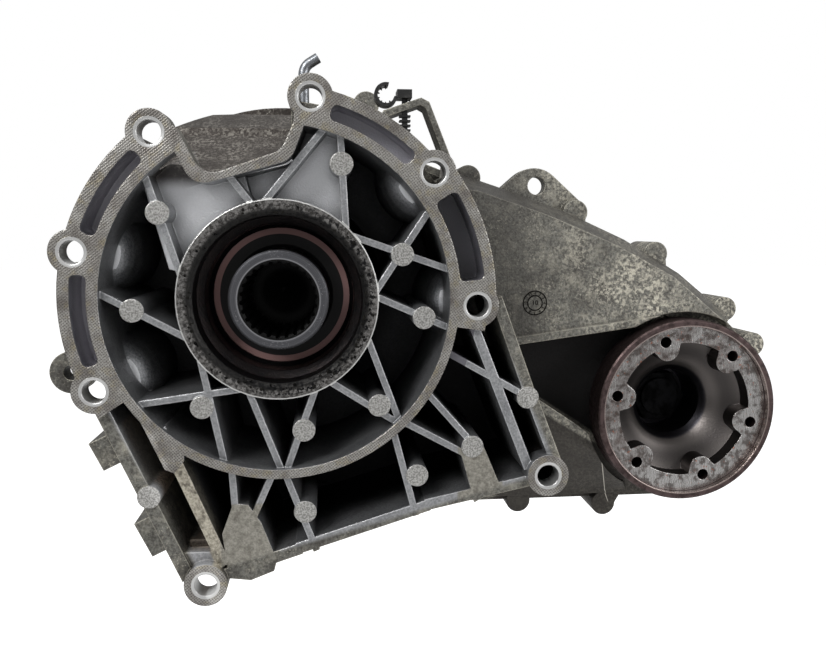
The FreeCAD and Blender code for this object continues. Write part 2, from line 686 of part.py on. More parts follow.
def outside_features():
    """Lifting ear, eye lug, breather boss and clip bracket of the front casing."""
    lift = rounded_prism([(114.0, 46.0, 2.0), (LIFT_HOLE[0] - 1.4, LIFT_HOLE[1] + 16.6, 18.0), (186.0, 48.0, 2.0),
                          (150.0, 36.0, 2.0)], JOINT_Y - JOINT_FLANGE_T, JOINT_Y)
    eye = rod(EYE, EYE_R, EYE_Y, EYE_Y + EYE_T)
    eye_neck = wall(EYE, between(EYE, INPUT, 0.2), 1.3 * EYE_R, EYE_Y, EYE_Y + EYE_T)
    boss = Part.makeCylinder(7.0, 14.0, vec(BREATHER_X, BREATHER_Y, CASE_R - 10), vec(0, 0, 1))
    strap = prism([(50.0, 90.0), (55.5, 99.0), (76.0, 106.0), (80.5, 103.8), (99.0, 58.0), (95.0, 58.0),
                   (78.5, 100.5), (75.5, 102.2), (58.5, 96.0), (54.0, 88.0)], BRACKET_Y, WING_Y + 2)
    slot = Part.makeBox(3.6, 3.6, 14, vec(CLIP_POST[0] + 7.7, CLIP_Y + 3.7, CLIP_POST[1] - 2))
    return [lift, eye, eye_neck, boss, strap.cut(slot)]


def front_casing():
    """Die-cast front casing: ribbed transmission flange and front chain case."""
    solids = bell() + bell_bulges() + web() + corner_plates() + skirt() + side_bosses()
    notch_wall = rounded_prism(notch_outline(BELL_WALL), 0, FLOOR_Y + FLOOR_T)
    solids.append(notch_wall.common(rod(INPUT, BELL_R + 1, 0, FLOOR_Y + FLOOR_T)))
    solids += chain_case_front() + lugs(JOINT_Y - LUG_FRONT, JOINT_Y) + outside_features()
    body = solids[0].multiFuse(solids[1:])
    body = body.cut([case_prism(-WALL, CASE_Y + WALL, JOINT_Y + 1)])
    hub_back = SUN_BEARING_Y + BIG_BEARING_T
    body = body.cut(bell_pockets() + notch_cut() + [rod(INPUT, HUB_R - 1, -1, hub_back)])
    body = body.fuse([hub(), output_boss()] + ears())
    openings = [
        rod(OUTPUT, WELL_R, WING_Y - 5, WELL_Y),
        rod(OUTPUT, SEAL_R, WELL_Y - 1, OUT_SEAL_Y + SEAL_T),
        rod(OUTPUT, SEAL_R - 3, WELL_Y - 1, OUT_BEARING_Y + BIG_BEARING_T),
    ]
    for spot in EAR_HOLES:
        chamfer_r = EAR_HOLE_R + EAR_CHAMFER
        openings.append(rod(spot, EAR_HOLE_R, -1, EAR_T + 1))
        openings.append(turned(spot, [(0, 0), (chamfer_r, 0), (EAR_HOLE_R, EAR_CHAMFER_L),
                                      (0, EAR_CHAMFER_L)]))
        openings.append(rod(spot, SPANNER_R, EAR_T, FLOOR_Y - 30))
    for spot in LUGS:
        openings.append(rod(spot, BOLT_R, JOINT_Y - BOLT_GRIP - 2, JOINT_Y + 1))
    for index in DOWEL_LUGS:
        openings.append(rod(LUGS[index], DOWEL_R, JOINT_Y - DOWEL_L / 2, JOINT_Y + 1))
    openings.append(rod(LIFT_HOLE, LIFT_HOLE_R, JOINT_Y - 20, JOINT_Y + 1))
    openings.append(rod(EYE, EYE_HOLE_R, EYE_Y - 1, EYE_Y + EYE_T + 1))
    openings.append(Part.makeCylinder(BREATHER_R, 30, vec(BREATHER_X, BREATHER_Y, CASE_R - 20), vec(0, 0, 1)))
    return body.cut(openings).removeSplitter()


# --- rear casing -------------------------------------------------------
def rear_dome():
    """Dome over the differential, with the rear bearing and seal seats."""
    skin = 7.0
    return turned(INPUT, [
        (DOME_R, CHAIN_REAR_Y),
        (DOME_R, REAR_WALL_Y - 4),
        (DOME_R - 6, REAR_WALL_Y + 3),
        (REAR_NECK_R + skin, REAR_WALL_Y + 8),
        (REAR_NECK_R, REAR_WALL_Y + 14),
        (REAR_NECK_R - 4, NECK_END_Y),
        (REAR_SEAL_R, NECK_END_Y),
        (REAR_SEAL_R, REAR_SEAL_Y),
        (REAR_SEAL_R - 3, REAR_SEAL_Y),
        (REAR_SEAL_R - 3, REAR_BEARING_Y + BIG_BEARING_T),
        (BIG_BEARING_R, REAR_BEARING_Y + BIG_BEARING_T),
        (BIG_BEARING_R, REAR_WALL_Y - DOME_WALL + 3),
        (DOME_R - DOME_WALL - 3, REAR_WALL_Y - DOME_WALL + 3),
        (DOME_R - DOME_WALL, REAR_WALL_Y - DOME_WALL),
        (DOME_R - DOME_WALL, CHAIN_REAR_Y),
    ])


def dome_ribs():
    """Radial stiffening ribs between the dome and the rear neck."""
    ribs = []
    for i in range(DOME_RIBS):
        angle = 360.0 * i / DOME_RIBS + 18.0
        corners = [
            vec(REAR_NECK_R - 3, REAR_WALL_Y + 4, 0), vec(DOME_R - 7, REAR_WALL_Y + 1, 0),
            vec(DOME_R - 2, REAR_WALL_Y - 3, 0), vec(DOME_R - 7, REAR_WALL_Y + 9, 0),
            vec(REAR_NECK_R - 3, NECK_END_Y - 6, 0),
        ]
        face = Part.Face(Part.makePolygon(corners + corners[:1]))
        rib = face.extrude(vec(0, 0, 5))
        rib.translate(vec(0, 0, -2.5))
        rib.rotate(vec(0, 0, 0), AXIS, -angle)
        ribs.append(rib)
    return ribs


def mount_spots():
    """Centres of the support bracket's tapped bosses on the rear wall."""
    half_x = MOUNT_SPACING[0] / 2
    half_z = MOUNT_SPACING[1] / 2
    return [(MOUNT_CENTRE[0] + sx * half_x, MOUNT_CENTRE[1] + sz * half_z) for sx in (-1, 1) for sz in (-1, 1)]


def head_pocket_walls(back_y):
    """Thicker wall, inside the case, round the pockets of the bolt heads."""
    inside = case_prism(0, JOINT_Y, back_y)
    grown = LUG_R + WALL - 2
    return [rod(spot, grown, JOINT_Y, JOINT_Y + LUG_REAR + HEAD_POCKET_L + 4).common(inside) for spot in LUGS
            if rod(spot, LUG_R, JOINT_Y, back_y).common(inside).Volume > 0]


def rear_casing():
    """Die-cast rear casing: rear of the chain case, dome and rear neck."""
    back_y = CHAIN_REAR_Y + WALL
    skin = case_prism(0, JOINT_Y, back_y)
    flange = case_prism(JOINT_FLANGE, JOINT_Y, JOINT_Y + JOINT_FLANGE_T)
    end_boss = rod(OUTPUT, SMALL_BEARING_R + 7, CHAIN_REAR_Y, SMALL_BEARING_Y + SMALL_BEARING_T + WALL)
    solids = [flange, end_boss, rod(INPUT, DOME_R, CHAIN_REAR_Y, DRUM_END_Y - 2)]
    for spot in mount_spots():
        solids.append(rod(spot, MOUNT_R, back_y - 1, back_y + MOUNT_L))
    solids += lugs(JOINT_Y, JOINT_Y + LUG_REAR)
    plugs = []
    for spot in PLUG_SPOTS:
        solids.append(rod(spot, PLUG_R + 4, back_y - 1, back_y + 5))
        plugs.append(rod(spot, PLUG_R - 2, back_y - WALL - 2, back_y + 6))
    body = skin.multiFuse(solids)
    cavity = case_prism(-WALL, JOINT_Y - 1, CHAIN_REAR_Y)
    inside = rod(INPUT, DOME_R - DOME_WALL, JOINT_Y, DRUM_END_Y)
    body = body.cut([cavity, inside])
    seat_y = CHAIN_REAR_Y - 4
    seat = tube(OUTPUT, SMALL_BEARING_R + 7, SMALL_BEARING_R, seat_y, back_y)
    body = body.fuse([rear_dome(), *dome_ribs(), seat, *head_pocket_walls(back_y)])
    openings = [rod(OUTPUT, SMALL_BEARING_R, seat_y - 1, SMALL_BEARING_Y + SMALL_BEARING_T)] + plugs
    for spot in LUGS:
        openings.append(rod(spot, LUG_R + FREE, JOINT_Y + LUG_REAR, JOINT_Y + LUG_REAR + HEAD_POCKET_L))
        openings.append(rod(spot, BOLT_R + 0.5, JOINT_Y - 1, JOINT_Y + LUG_REAR + 1))
    for index in DOWEL_LUGS:
        openings.append(rod(LUGS[index], DOWEL_R, JOINT_Y - 1, JOINT_Y + DOWEL_L / 2))
    for spot in mount_spots():
        openings.append(rod(spot, MOUNT_TAP_R, back_y - 2, back_y + MOUNT_L + 1))
    return body.cut(openings).removeSplitter()


def plug(spot):
    """Hexagon-head plug screwed into the rear wall, with its washer."""
    seat = CHAIN_REAR_Y + WALL + 5
    head = prism([polar(PLUG_R, 60 * i, spot) for i in range(6)], seat + 1.5, seat + 1.5 + PLUG_T)
    shank = rod(spot, PLUG_R - 2, CHAIN_REAR_Y + 1, seat + 1.5)
    washer = tube(spot, PLUG_R + 1, PLUG_R - 2, seat, seat + 1.5)
    return head.fuse(shank), washer


# --- input shaft and differential --------------------------------------
def spline_bore(centre, y0, y1, teeth, radius, depth):
    """Toothed bore of an internal spline."""
    points = []
    for i in range(teeth):
        base = 360.0 * i / teeth
        pitch = 360.0 / teeth
        points.append(polar(radius, base, centre))
        points.append(polar(radius + depth, base + 0.15 * pitch, centre))
        points.append(polar(radius + depth, base + 0.45 * pitch, centre))
        points.append(polar(radius, base + 0.6 * pitch, centre))
    return prism(points, y0, y1)


def input_shaft():
    """Hollow input shaft with its internal spline, stepped down inside the sun gear."""
    step = SUN_BEARING_Y - 6
    body = turned(INPUT, [
        (0, SHAFT_NOSE + SPLINE_L + 6), (SPLINE_R - 4, SHAFT_NOSE + SPLINE_L),
        (SPLINE_R, SHAFT_NOSE + SPLINE_L), (SPLINE_R, SHAFT_NOSE + 1), (SPLINE_R + 1, SHAFT_NOSE),
        (SHAFT_R - 1, SHAFT_NOSE), (SHAFT_R, SHAFT_NOSE + 1), (SHAFT_R, step - 6),
        (INNER_R, step), (INNER_R, CARRIER_Y + CARRIER_T), (0, CARRIER_Y + CARRIER_T),
    ])
    return body.cut(spline_bore(INPUT, SHAFT_NOSE - 1, SHAFT_NOSE + SPLINE_L, SPLINE_TEETH, SPLINE_R - 0.6,
                                SPLINE_DEPTH))


def sun_gear():
    """Sun gear cut on its long hollow shaft."""
    start = SUN_BEARING_Y - 3
    bore = INNER_R + RUN + BUSH_WALL
    body = tube(INPUT, SUN_SHAFT_R, bore, start, SUN_Y - 3)
    teeth = prism(gear_outline(SUN_TEETH, SUN_R - 1.25 * MODULE, SUN_R + 0.8 * MODULE, BACKLASH, 90), SUN_Y,
                  SUN_Y + GEAR_T)
    neck = rod(INPUT, SUN_R - 1.25 * MODULE, SUN_Y - 4, SUN_Y + 1)
    return body.fuse([teeth, neck]).cut(rod(INPUT, bore, start - 1, SUN_Y + GEAR_T + 1)).removeSplitter()


def sun_bush():
    """Bronze bush between sun gear and input shaft."""
    bore = INNER_R + RUN
    return tube(INPUT, bore + BUSH_WALL, bore, SUN_Y - 20, SUN_Y + GEAR_T)


def planet_spots():
    """Planet axes on the carrier."""
    return [polar(SUN_R + PLANET_R, 90 + 360.0 * i / PLANETS) for i in range(PLANETS)]


def planet_gear(index):
    """Planet gear with a tooth gap facing the sun gear."""
    spot = planet_spots()[index]
    facing = 270 + 360.0 * index / PLANETS
    outline = gear_outline(PLANET_TEETH, PLANET_R - 1.25 * MODULE, PLANET_R + 0.8 * MODULE, BACKLASH,
                           facing + 180.0 / PLANET_TEETH)
    return prism(shifted(outline, spot), SUN_Y + 1, SUN_Y + GEAR_T - 1).cut(
        rod(spot, PIN_R + RUN, SUN_Y, SUN_Y + GEAR_T))


def planet_carrier():
    """Carrier disc behind the planets, on the rear end of the input shaft."""
    rim = SUN_R + PLANET_R + PIN_R + 5
    body = tube(INPUT, rim, INNER_R, CARRIER_Y, CARRIER_Y + CARRIER_T)
    gaps = [rod(polar(rim + 14, 30 + 360.0 * i / PLANETS), 34, CARRIER_Y - 1, CARRIER_Y + CARRIER_T + 1)
            for i in range(PLANETS)]
    pins = [rod(spot, PIN_R, CARRIER_Y - 1, CARRIER_Y + CARRIER_T + 1) for spot in planet_spots()]
    return body.cut(gaps + pins)


def planet_pins():
    """Three pins pressed into the carrier."""
    return group([rod(spot, PIN_R, SUN_Y - 1, CARRIER_Y + CARRIER_T) for spot in planet_spots()])


def ring_gear():
    """Internal gear of the differential, open drum towards the rear."""
    teeth = prism(gear_outline(RING_TEETH, RING_R - 0.55 * MODULE, RING_ROOT_R, -BACKLASH,
                               90 + 180.0 / RING_TEETH), SUN_Y, SUN_Y + GEAR_T)
    drum = rod(INPUT, DRUM_R, SUN_Y + 1, DRUM_END_Y)
    hollow_drum = rod(INPUT, DRUM_R - DRUM_WALL + 0.5, SUN_Y + GEAR_T - 1, DRUM_END_Y + 1)
    return drum.cut([teeth, hollow_drum])


def ring_hub():
    """End disc that joins the ring gear to the rear output shaft."""
    end = DRUM_END_Y + DRUM_END_T
    return tube(INPUT, DRUM_R, SHAFT_R, DRUM_END_Y, end)


def rear_output_shaft():
    """Rear output shaft from the ring gear to the rear flange."""
    stud = REAR_STUD_R
    return turned(INPUT, [
        (0, DRUM_END_Y - 2), (SHAFT_R, DRUM_END_Y - 2), (SHAFT_R, REAR_BEARING_Y + BIG_BEARING_T + 1),
        (SHAFT_R - 8, REAR_BEARING_Y + BIG_BEARING_T + 1), (SHAFT_R - 8, REAR_FLANGE_Y + 2),
        (stud, REAR_FLANGE_Y + 2), (stud, REAR_FLANGE_Y + REAR_FLANGE_T + NUT_T + 2),
        (0, REAR_FLANGE_Y + REAR_FLANGE_T + NUT_T + 2),
    ])


def bolt_circle(centre, radius, first, count):
    """Points of a bolt circle."""
    return [polar(radius, first + 360.0 * i / count, centre) for i in range(count)]


def rear_flange():
    """Rear companion flange with its hub through the rear seal."""
    end = REAR_FLANGE_Y + REAR_FLANGE_T
    hub_y = REAR_BEARING_Y + BIG_BEARING_T + 1
    body = turned(INPUT, [
        (SHAFT_R - 8, hub_y), (SHAFT_R, hub_y), (SHAFT_R, REAR_FLANGE_Y - 4), (SHAFT_R + 6, REAR_FLANGE_Y),
        (REAR_FLANGE_R, REAR_FLANGE_Y), (REAR_FLANGE_R, end + 3), (REAR_FLANGE_R - 4, end + 3),
        (REAR_FLANGE_R - 4, end), (SHAFT_R, end), (SHAFT_R - 4, end - 4), (REAR_STUD_R, end - 4),
        (REAR_STUD_R, REAR_FLANGE_Y + 2), (SHAFT_R - 8, REAR_FLANGE_Y + 2),
    ])
    taps = [rod(p, TAP_R, REAR_FLANGE_Y - 1, end + 1)
            for p in bolt_circle(INPUT, BOLT_CIRCLE_R, BOLT_ANGLE, FLANGE_BOLTS)]
    return body.cut(taps)


def hex_nut(centre, across_r, bore_r, y0, y1):
    """Hexagon nut on an axis along Y."""
    return prism([polar(across_r, 60 * i, centre) for i in range(6)], y0, y1).cut(rod(centre, bore_r, y0 - 1,
                                                                                      y1 + 1))


def dust_shield(centre, y0, bore_r, outer_r):
    """Pressed dust shield on a flange hub."""
    return turned(centre, [(bore_r, y0), (outer_r, y0), (outer_r + 2, y0 - 4), (outer_r + 2, y0 - 2.6),
                           (outer_r + 0.6, y0 + 1.4), (bore_r, y0 + 1.4)])


# --- chain drive -------------------------------------------------------
def sprocket(centre, bore_r, first):
    """Silent-chain sprocket with trapezoid teeth."""
    points = []
    pitch = 360.0 / SPROCKET_TEETH
    root = SPROCKET_TIP_R - SPROCKET_TOOTH
    for i in range(SPROCKET_TEETH):
        base = first + i * pitch
        points.append(polar(root, base - 0.32 * pitch, centre))
        points.append(polar(SPROCKET_TIP_R, base - 0.13 * pitch, centre))
        points.append(polar(SPROCKET_TIP_R, base + 0.13 * pitch, centre))
        points.append(polar(root, base + 0.32 * pitch, centre))
    body = prism(points, SPROCKET_Y + CHAIN_SIDE, SPROCKET_Y + SPROCKET_T - CHAIN_SIDE)
    web_r = root - 7
    hub_r = bore_r + 6
    body = body.fuse(tube(centre, hub_r, bore_r, SPROCKET_Y - 1, SPROCKET_Y + SPROCKET_T + 1))
    cuts = [rod(centre, bore_r, SPROCKET_Y - 1, SPROCKET_Y + SPROCKET_T + 1)]
    if web_r - hub_r > 1:
        cuts.append(tube(centre, web_r, hub_r, SPROCKET_Y, SPROCKET_Y + 6))
        cuts.append(tube(centre, web_r, hub_r, SPROCKET_Y + SPROCKET_T - 6, SPROCKET_Y + SPROCKET_T))
    return body.cut(cuts)


def chain_point(distance):
    """Point and outward direction on the chain's closed path."""
    span = math.hypot(OUT_X, OUT_Z)
    lean = math.atan2(OUT_Z, OUT_X)
    half_turn = math.pi * CHAIN_PATH_R
    if distance < span:
        share = distance / span
        return (OUT_X * share, OUT_Z * share), lean + math.pi / 2
    distance -= span
    if distance < half_turn:
        return OUTPUT, lean + math.pi / 2 - distance / CHAIN_PATH_R
    distance -= half_turn
    if distance < span:
        share = 1 - distance / span
        return (OUT_X * share, OUT_Z * share), lean - math.pi / 2
    distance -= span
    return INPUT, lean - math.pi / 2 - distance / CHAIN_PATH_R


def drive_chain():
    """Link packs of the silent chain, alternately wide and narrow."""
    length = 2 * math.hypot(OUT_X, OUT_Z) + 2 * math.pi * CHAIN_PATH_R
    count = 2 * round(length / CHAIN_PITCH / 2)
    pitch = length / count
    half = pitch / 2 - 0.35
    links = []
    for i in range(count):
        spot, direction = chain_point((i + 0.5) * pitch)
        out = (math.cos(direction), math.sin(direction))
        along = (-out[1], out[0])
        centre = (spot[0] + out[0] * CHAIN_PATH_R, spot[1] + out[1] * CHAIN_PATH_R)
        corners = []
        for u, v in ((-half + 0.6, -1), (half - 0.6, -1), (half, 0), (half - 0.6, 1), (-half + 0.6, 1), (-half, 0)):
            corners.append((centre[0] + along[0] * u + out[0] * v * CHAIN_H / 2,
                            centre[1] + along[1] * u + out[1] * v * CHAIN_H / 2))
        side = CHAIN_SIDE + 1.5 * (i % 2)
        links.append(prism(corners, SPROCKET_Y + side, SPROCKET_Y + SPROCKET_T - side))
    return group(links)


# --- front output ------------------------------------------------------
def front_output_shaft():
    """Stub shaft that carries the driven sprocket."""
    end = SMALL_BEARING_Y + SMALL_BEARING_T
    return turned(OUTPUT, [
        (0, TUBE_END_Y - TUBE_END_T - NUT_T - 2), (STUD_R, TUBE_END_Y - TUBE_END_T - NUT_T - 2),
        (STUD_R, TUBE_END_Y), (OUT_SHAFT_R, TUBE_END_Y), (OUT_SHAFT_R, SMALL_BEARING_Y - 1),
        (END_SHAFT_R, SMALL_BEARING_Y - 1), (END_SHAFT_R, end), (0, end),
    ])


def front_output_flange():
    """Front companion flange: rim, scalloped bowl and tube through the seal."""
    face = RIM_Y + RIM_STEP
    back = RIM_Y + RIM_L
    body = turned(OUTPUT, [
        (RIM_R, RIM_Y + 1), (RIM_R, back), (RIM_R - 6, back + 4), (BOWL_FLOOR_R + 12, back + 5),
        (TUBE_R + 4, BOWL_FLOOR_Y - 1), (TUBE_R, BOWL_FLOOR_Y + 1), (TUBE_R, TUBE_END_Y), (STUD_R, TUBE_END_Y),
        (STUD_R, TUBE_END_Y - TUBE_END_T), (TUBE_BORE_R, TUBE_END_Y - TUBE_END_T), (TUBE_BORE_R, BOWL_FLOOR_Y + 2),
        (BOWL_FLOOR_R, BOWL_FLOOR_Y - 2), (SCALLOP_R - 10, face + 6), (SCALLOP_R - 12, face),
        (RIM_R - RIM_WALL, face), (RIM_R - RIM_WALL, RIM_Y), (RIM_R - 1, RIM_Y),
    ])
    bowl = turned(OUTPUT, [(0, face - 1), (SCALLOP_R, face - 1), (SCALLOP_R, face + 10),
                           (BOWL_FLOOR_R, BOWL_FLOOR_Y - 2), (0, BOWL_FLOOR_Y - 2)])
    bosses = []
    spots = bolt_circle(OUTPUT, BOLT_CIRCLE_R, BOLT_ANGLE, FLANGE_BOLTS)
    for index, spot in enumerate(spots):
        tip = polar(LOBE_IN_R + LOBE_TIP_R, BOLT_ANGLE + 360.0 * index / FLANGE_BOLTS, OUTPUT)
        bosses.append(rod(spot, LOBE_R, face - 2, face + 12))
        bosses.append(rod(tip, LOBE_TIP_R, face - 2, face + 12))
    body = body.cut(bowl.cut(bosses))
    taps = [rod(spot, TAP_R, face - 1, face + 16) for spot in spots]
    return body.cut(taps).removeSplitter()


# --- fasteners and small parts -----------------------------------------
def casing_bolts():
    """Flanged hexagon bolts of the joint, heads to the rear."""
    seat = JOINT_Y + LUG_REAR
    bolts = []
    for spot in LUGS:
        head = prism([polar(BOLT_HEAD_R, 60 * i, spot) for i in range(6)], seat + 1.5, seat + BOLT_HEAD_T)
        washer = rod(spot, LUG_R - 0.5, seat, seat + 1.5)
        shank = rod(spot, BOLT_R, JOINT_Y - BOLT_GRIP, seat)
        bolts.append(head.fuse([washer, shank]))
    return group(bolts)


def breather_tube():
    """Steel breather tube, bent over towards the front output side."""
    base = CASE_R - 12
    top = CASE_R + 23.0
    bend = 8.0
    lean = math.radians(58)
    start = vec(BREATHER_X, BREATHER_Y, base)
    knee = vec(BREATHER_X, BREATHER_Y, top)
    mid = vec(BREATHER_X + bend * (1 - math.cos(lean / 2)), BREATHER_Y, top + bend * math.sin(lean / 2))
    end = vec(BREATHER_X + bend * (1 - math.cos(lean)), BREATHER_Y, top + bend * math.sin(lean))
    tip = end + vec(math.sin(lean), 0, math.cos(lean)) * 5.5
    path = Part.Wire([Part.makeLine(start, knee), Part.Arc(knee, mid, end).toShape(), Part.makeLine(end, tip)])
    outer = Part.Wire(Part.makeCircle(BREATHER_R, start, vec(0, 0, 1)))
    inner = Part.Wire(Part.makeCircle(BREATHER_R - 1, start, vec(0, 0, 1)))
    return path.makePipeShell([outer], True, True).cut(path.makePipeShell([inner], True, True))


def harness_clip():
    """Moulded clip: open loop, square head and barbed stem through its bracket."""
    y0 = CLIP_Y
    loop = sector(4.6, 6.4, 75, 350, y0, y0 + 9)
    loop.translate(vec(CLIP_POST[0] - 1.0, 0, CLIP_POST[1] + 11.5))
    head = Part.makeBox(8, 12, 4.5, vec(CLIP_POST[0] + 5, y0 - 1, CLIP_POST[1] + 9.6))
    stem = Part.makeBox(3, 3, 22, vec(CLIP_POST[0] + 8, y0 + 4, CLIP_POST[1] - 12))
    barbs = [Part.makeBox(6, 6, 1, vec(CLIP_POST[0] + 6.5, y0 + 2.5, CLIP_POST[1] - 10 + 2.5 * i))
             for i in range(5)]
    return loop.fuse([head, stem, *barbs])


def dowels():
    """Two ring dowels that line the casings up at the joint."""
    half = DOWEL_L / 2
    return group([tube(LUGS[i], DOWEL_R, BOLT_R + 0.5, JOINT_Y - half, JOINT_Y + half) for i in DOWEL_LUGS])


def build():
    """Every node of the transfer case by name."""
    nodes = {
        "front_casing": front_casing(),
        "rear_casing": rear_casing(),
        "input_shaft": input_shaft(),
        "input_oil_seal": lip_seal(INPUT, SEAL_Y, SEAL_T, SHAFT_R, SEAL_R),
        "sun_gear": sun_gear(),
        "sun_gear_bush": sun_bush(),
        "planet_carrier": planet_carrier(),
        "planet_pins": planet_pins(),
        "ring_gear": ring_gear(),
        "ring_gear_hub": ring_hub(),
        "drive_sprocket": sprocket(INPUT, SUN_SHAFT_R, 90),
        "drive_chain": drive_chain(),
        "driven_sprocket": sprocket(OUTPUT, OUT_SHAFT_R, 90),
        "front_output_shaft": front_output_shaft(),
        "front_output_flange": front_output_flange(),
        "front_output_seal": lip_seal(OUTPUT, OUT_SEAL_Y, SEAL_T, TUBE_R, SEAL_R),
        "front_flange_nut": hex_nut(OUTPUT, 17.5, STUD_R, TUBE_END_Y - TUBE_END_T - NUT_T,
                                    TUBE_END_Y - TUBE_END_T),
        "rear_output_shaft": rear_output_shaft(),
        "rear_output_flange": rear_flange(),
        "rear_output_seal": lip_seal(INPUT, REAR_SEAL_Y, SEAL_T, SHAFT_R, REAR_SEAL_R),
        "rear_flange_nut": hex_nut(INPUT, 19.0, REAR_STUD_R, REAR_FLANGE_Y + REAR_FLANGE_T - 4,
                                   REAR_FLANGE_Y + REAR_FLANGE_T - 4 + NUT_T),
        "rear_dust_shield": dust_shield(INPUT, REAR_FLANGE_Y - 5.4, SHAFT_R, REAR_NECK_R),
        "casing_bolts": casing_bolts(),
        "joint_dowels": dowels(),
        "breather_tube": breather_tube(),
        "harness_clip": harness_clip(),
    }
    for index in range(PLANETS):
        nodes["planet_gear_%d" % (index + 1)] = planet_gear(index)
    seats = {
        "input_bearing": (INPUT, INPUT_BEARING_Y, BIG_BEARING_T, SHAFT_R, BIG_BEARING_R),
        "sprocket_bearing": (INPUT, SUN_BEARING_Y, BIG_BEARING_T, SUN_SHAFT_R, SUN_BEARING_R),
        "rear_bearing": (INPUT, REAR_BEARING_Y, BIG_BEARING_T, SHAFT_R, BIG_BEARING_R),
        "front_output_bearing": (OUTPUT, OUT_BEARING_Y, BIG_BEARING_T, TUBE_R, OUT_BEARING_R),
        "front_shaft_end_bearing": (OUTPUT, SMALL_BEARING_Y, SMALL_BEARING_T, END_SHAFT_R, SMALL_BEARING_R),
    }
    for name, seat in seats.items():
        outer, inner, rollers = bearing(*seat)
        nodes[name + "_outer"] = outer
        nodes[name + "_inner"] = inner
        nodes[name + "_rollers"] = rollers
    for name, spot in zip(("drain_plug", "filler_plug"), PLUG_SPOTS):
        body, washer = plug(spot)
        nodes[name] = body
        nodes[name + "_washer"] = washer
    return nodes


os.makedirs("parts", exist_ok=True)
for node, shape in build().items():
    write(node, shape)
    print(node, shape.isValid(), len(shape.Solids), round(shape.Volume))
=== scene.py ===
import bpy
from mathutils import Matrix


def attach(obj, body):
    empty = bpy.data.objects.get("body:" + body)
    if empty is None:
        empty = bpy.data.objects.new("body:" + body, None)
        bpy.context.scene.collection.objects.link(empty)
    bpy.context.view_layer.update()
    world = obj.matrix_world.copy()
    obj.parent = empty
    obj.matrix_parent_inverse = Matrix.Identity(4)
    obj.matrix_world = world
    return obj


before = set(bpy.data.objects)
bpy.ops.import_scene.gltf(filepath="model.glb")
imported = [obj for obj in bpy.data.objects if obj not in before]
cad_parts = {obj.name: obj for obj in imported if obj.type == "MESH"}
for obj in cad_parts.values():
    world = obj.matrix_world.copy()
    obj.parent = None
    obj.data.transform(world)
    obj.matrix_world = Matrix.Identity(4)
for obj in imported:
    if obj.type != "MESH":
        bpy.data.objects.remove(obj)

"""Looks of a used transfer case: castings, flanges, seals, clip and its plain studio."""

import logging
import math
import random
from dataclasses import dataclass, field
from enum import Enum
from typing import Any, Callable, Optional

import bpy
from mathutils import Matrix, Vector

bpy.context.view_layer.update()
MM = 0.001
FAR = 900.0                   # further off than any point of the case, in millimetres
CASING = "casing"             # the body that carries every added piece
LOG = logging.getLogger("transfer_case")
Socket = bpy.types.NodeSocket
Tree = bpy.types.NodeTree
Line = tuple[tuple[float, float], tuple[float, float]]  # two points in the XZ plane
Span = tuple[float, float, float]  # low limit, high limit and half the width of a soft edge


class Slot(Enum):
    """Names for material slots of the pieces that the scene adds; no code here gives them to a piece."""

    FRONT_CASTING = "front_casting"
    SEAL_RUBBER = "seal_rubber"
    CLIP_PLASTIC = "clip_plastic"


# --- colours and nodes -------------------------------------------------
def linear(code: str) -> tuple[float, float, float, float]:
    """Turns an sRGB hex colour into linear light.

    Args:
        code: Six hex digits, such as "6e6c68".

    Returns:
        Red, green, blue and alpha for a colour socket.
    """
    parts = [int(code[i:i + 2], 16) / 255 for i in (0, 2, 4)]
    curve = [p / 12.92 if p <= 0.04045 else ((p + 0.055) / 1.055) ** 2.4 for p in parts]
    return (*curve, 1.0)


def add(tree: Tree, kind: str, feeds: Optional[dict[Any, Any]] = None, **settings: Any) -> bpy.types.Node:
    """Adds one node with its settings and whatever feeds its inputs.

    Args:
        tree: Node tree that gets the node.
        kind: Blender's name of the node type.
        feeds: Input name or number to a socket, or to a plain value.
        settings: Attributes of the node.

    Returns:
        The new node.
    """
    node = tree.nodes.new(kind)
    for name, value in settings.items():
        setattr(node, name, value)
    for key, value in (feeds or {}).items():
        if isinstance(value, Socket):
            tree.links.new(value, node.inputs[key])
        else:
            node.inputs[key].default_value = value
    return node


@dataclass(frozen=True)
class Zone:
    """Box on a piece, in millimetres: a span for each axis that bounds it."""

    x: Optional[Span] = None
    y: Optional[Span] = None
    z: Optional[Span] = None


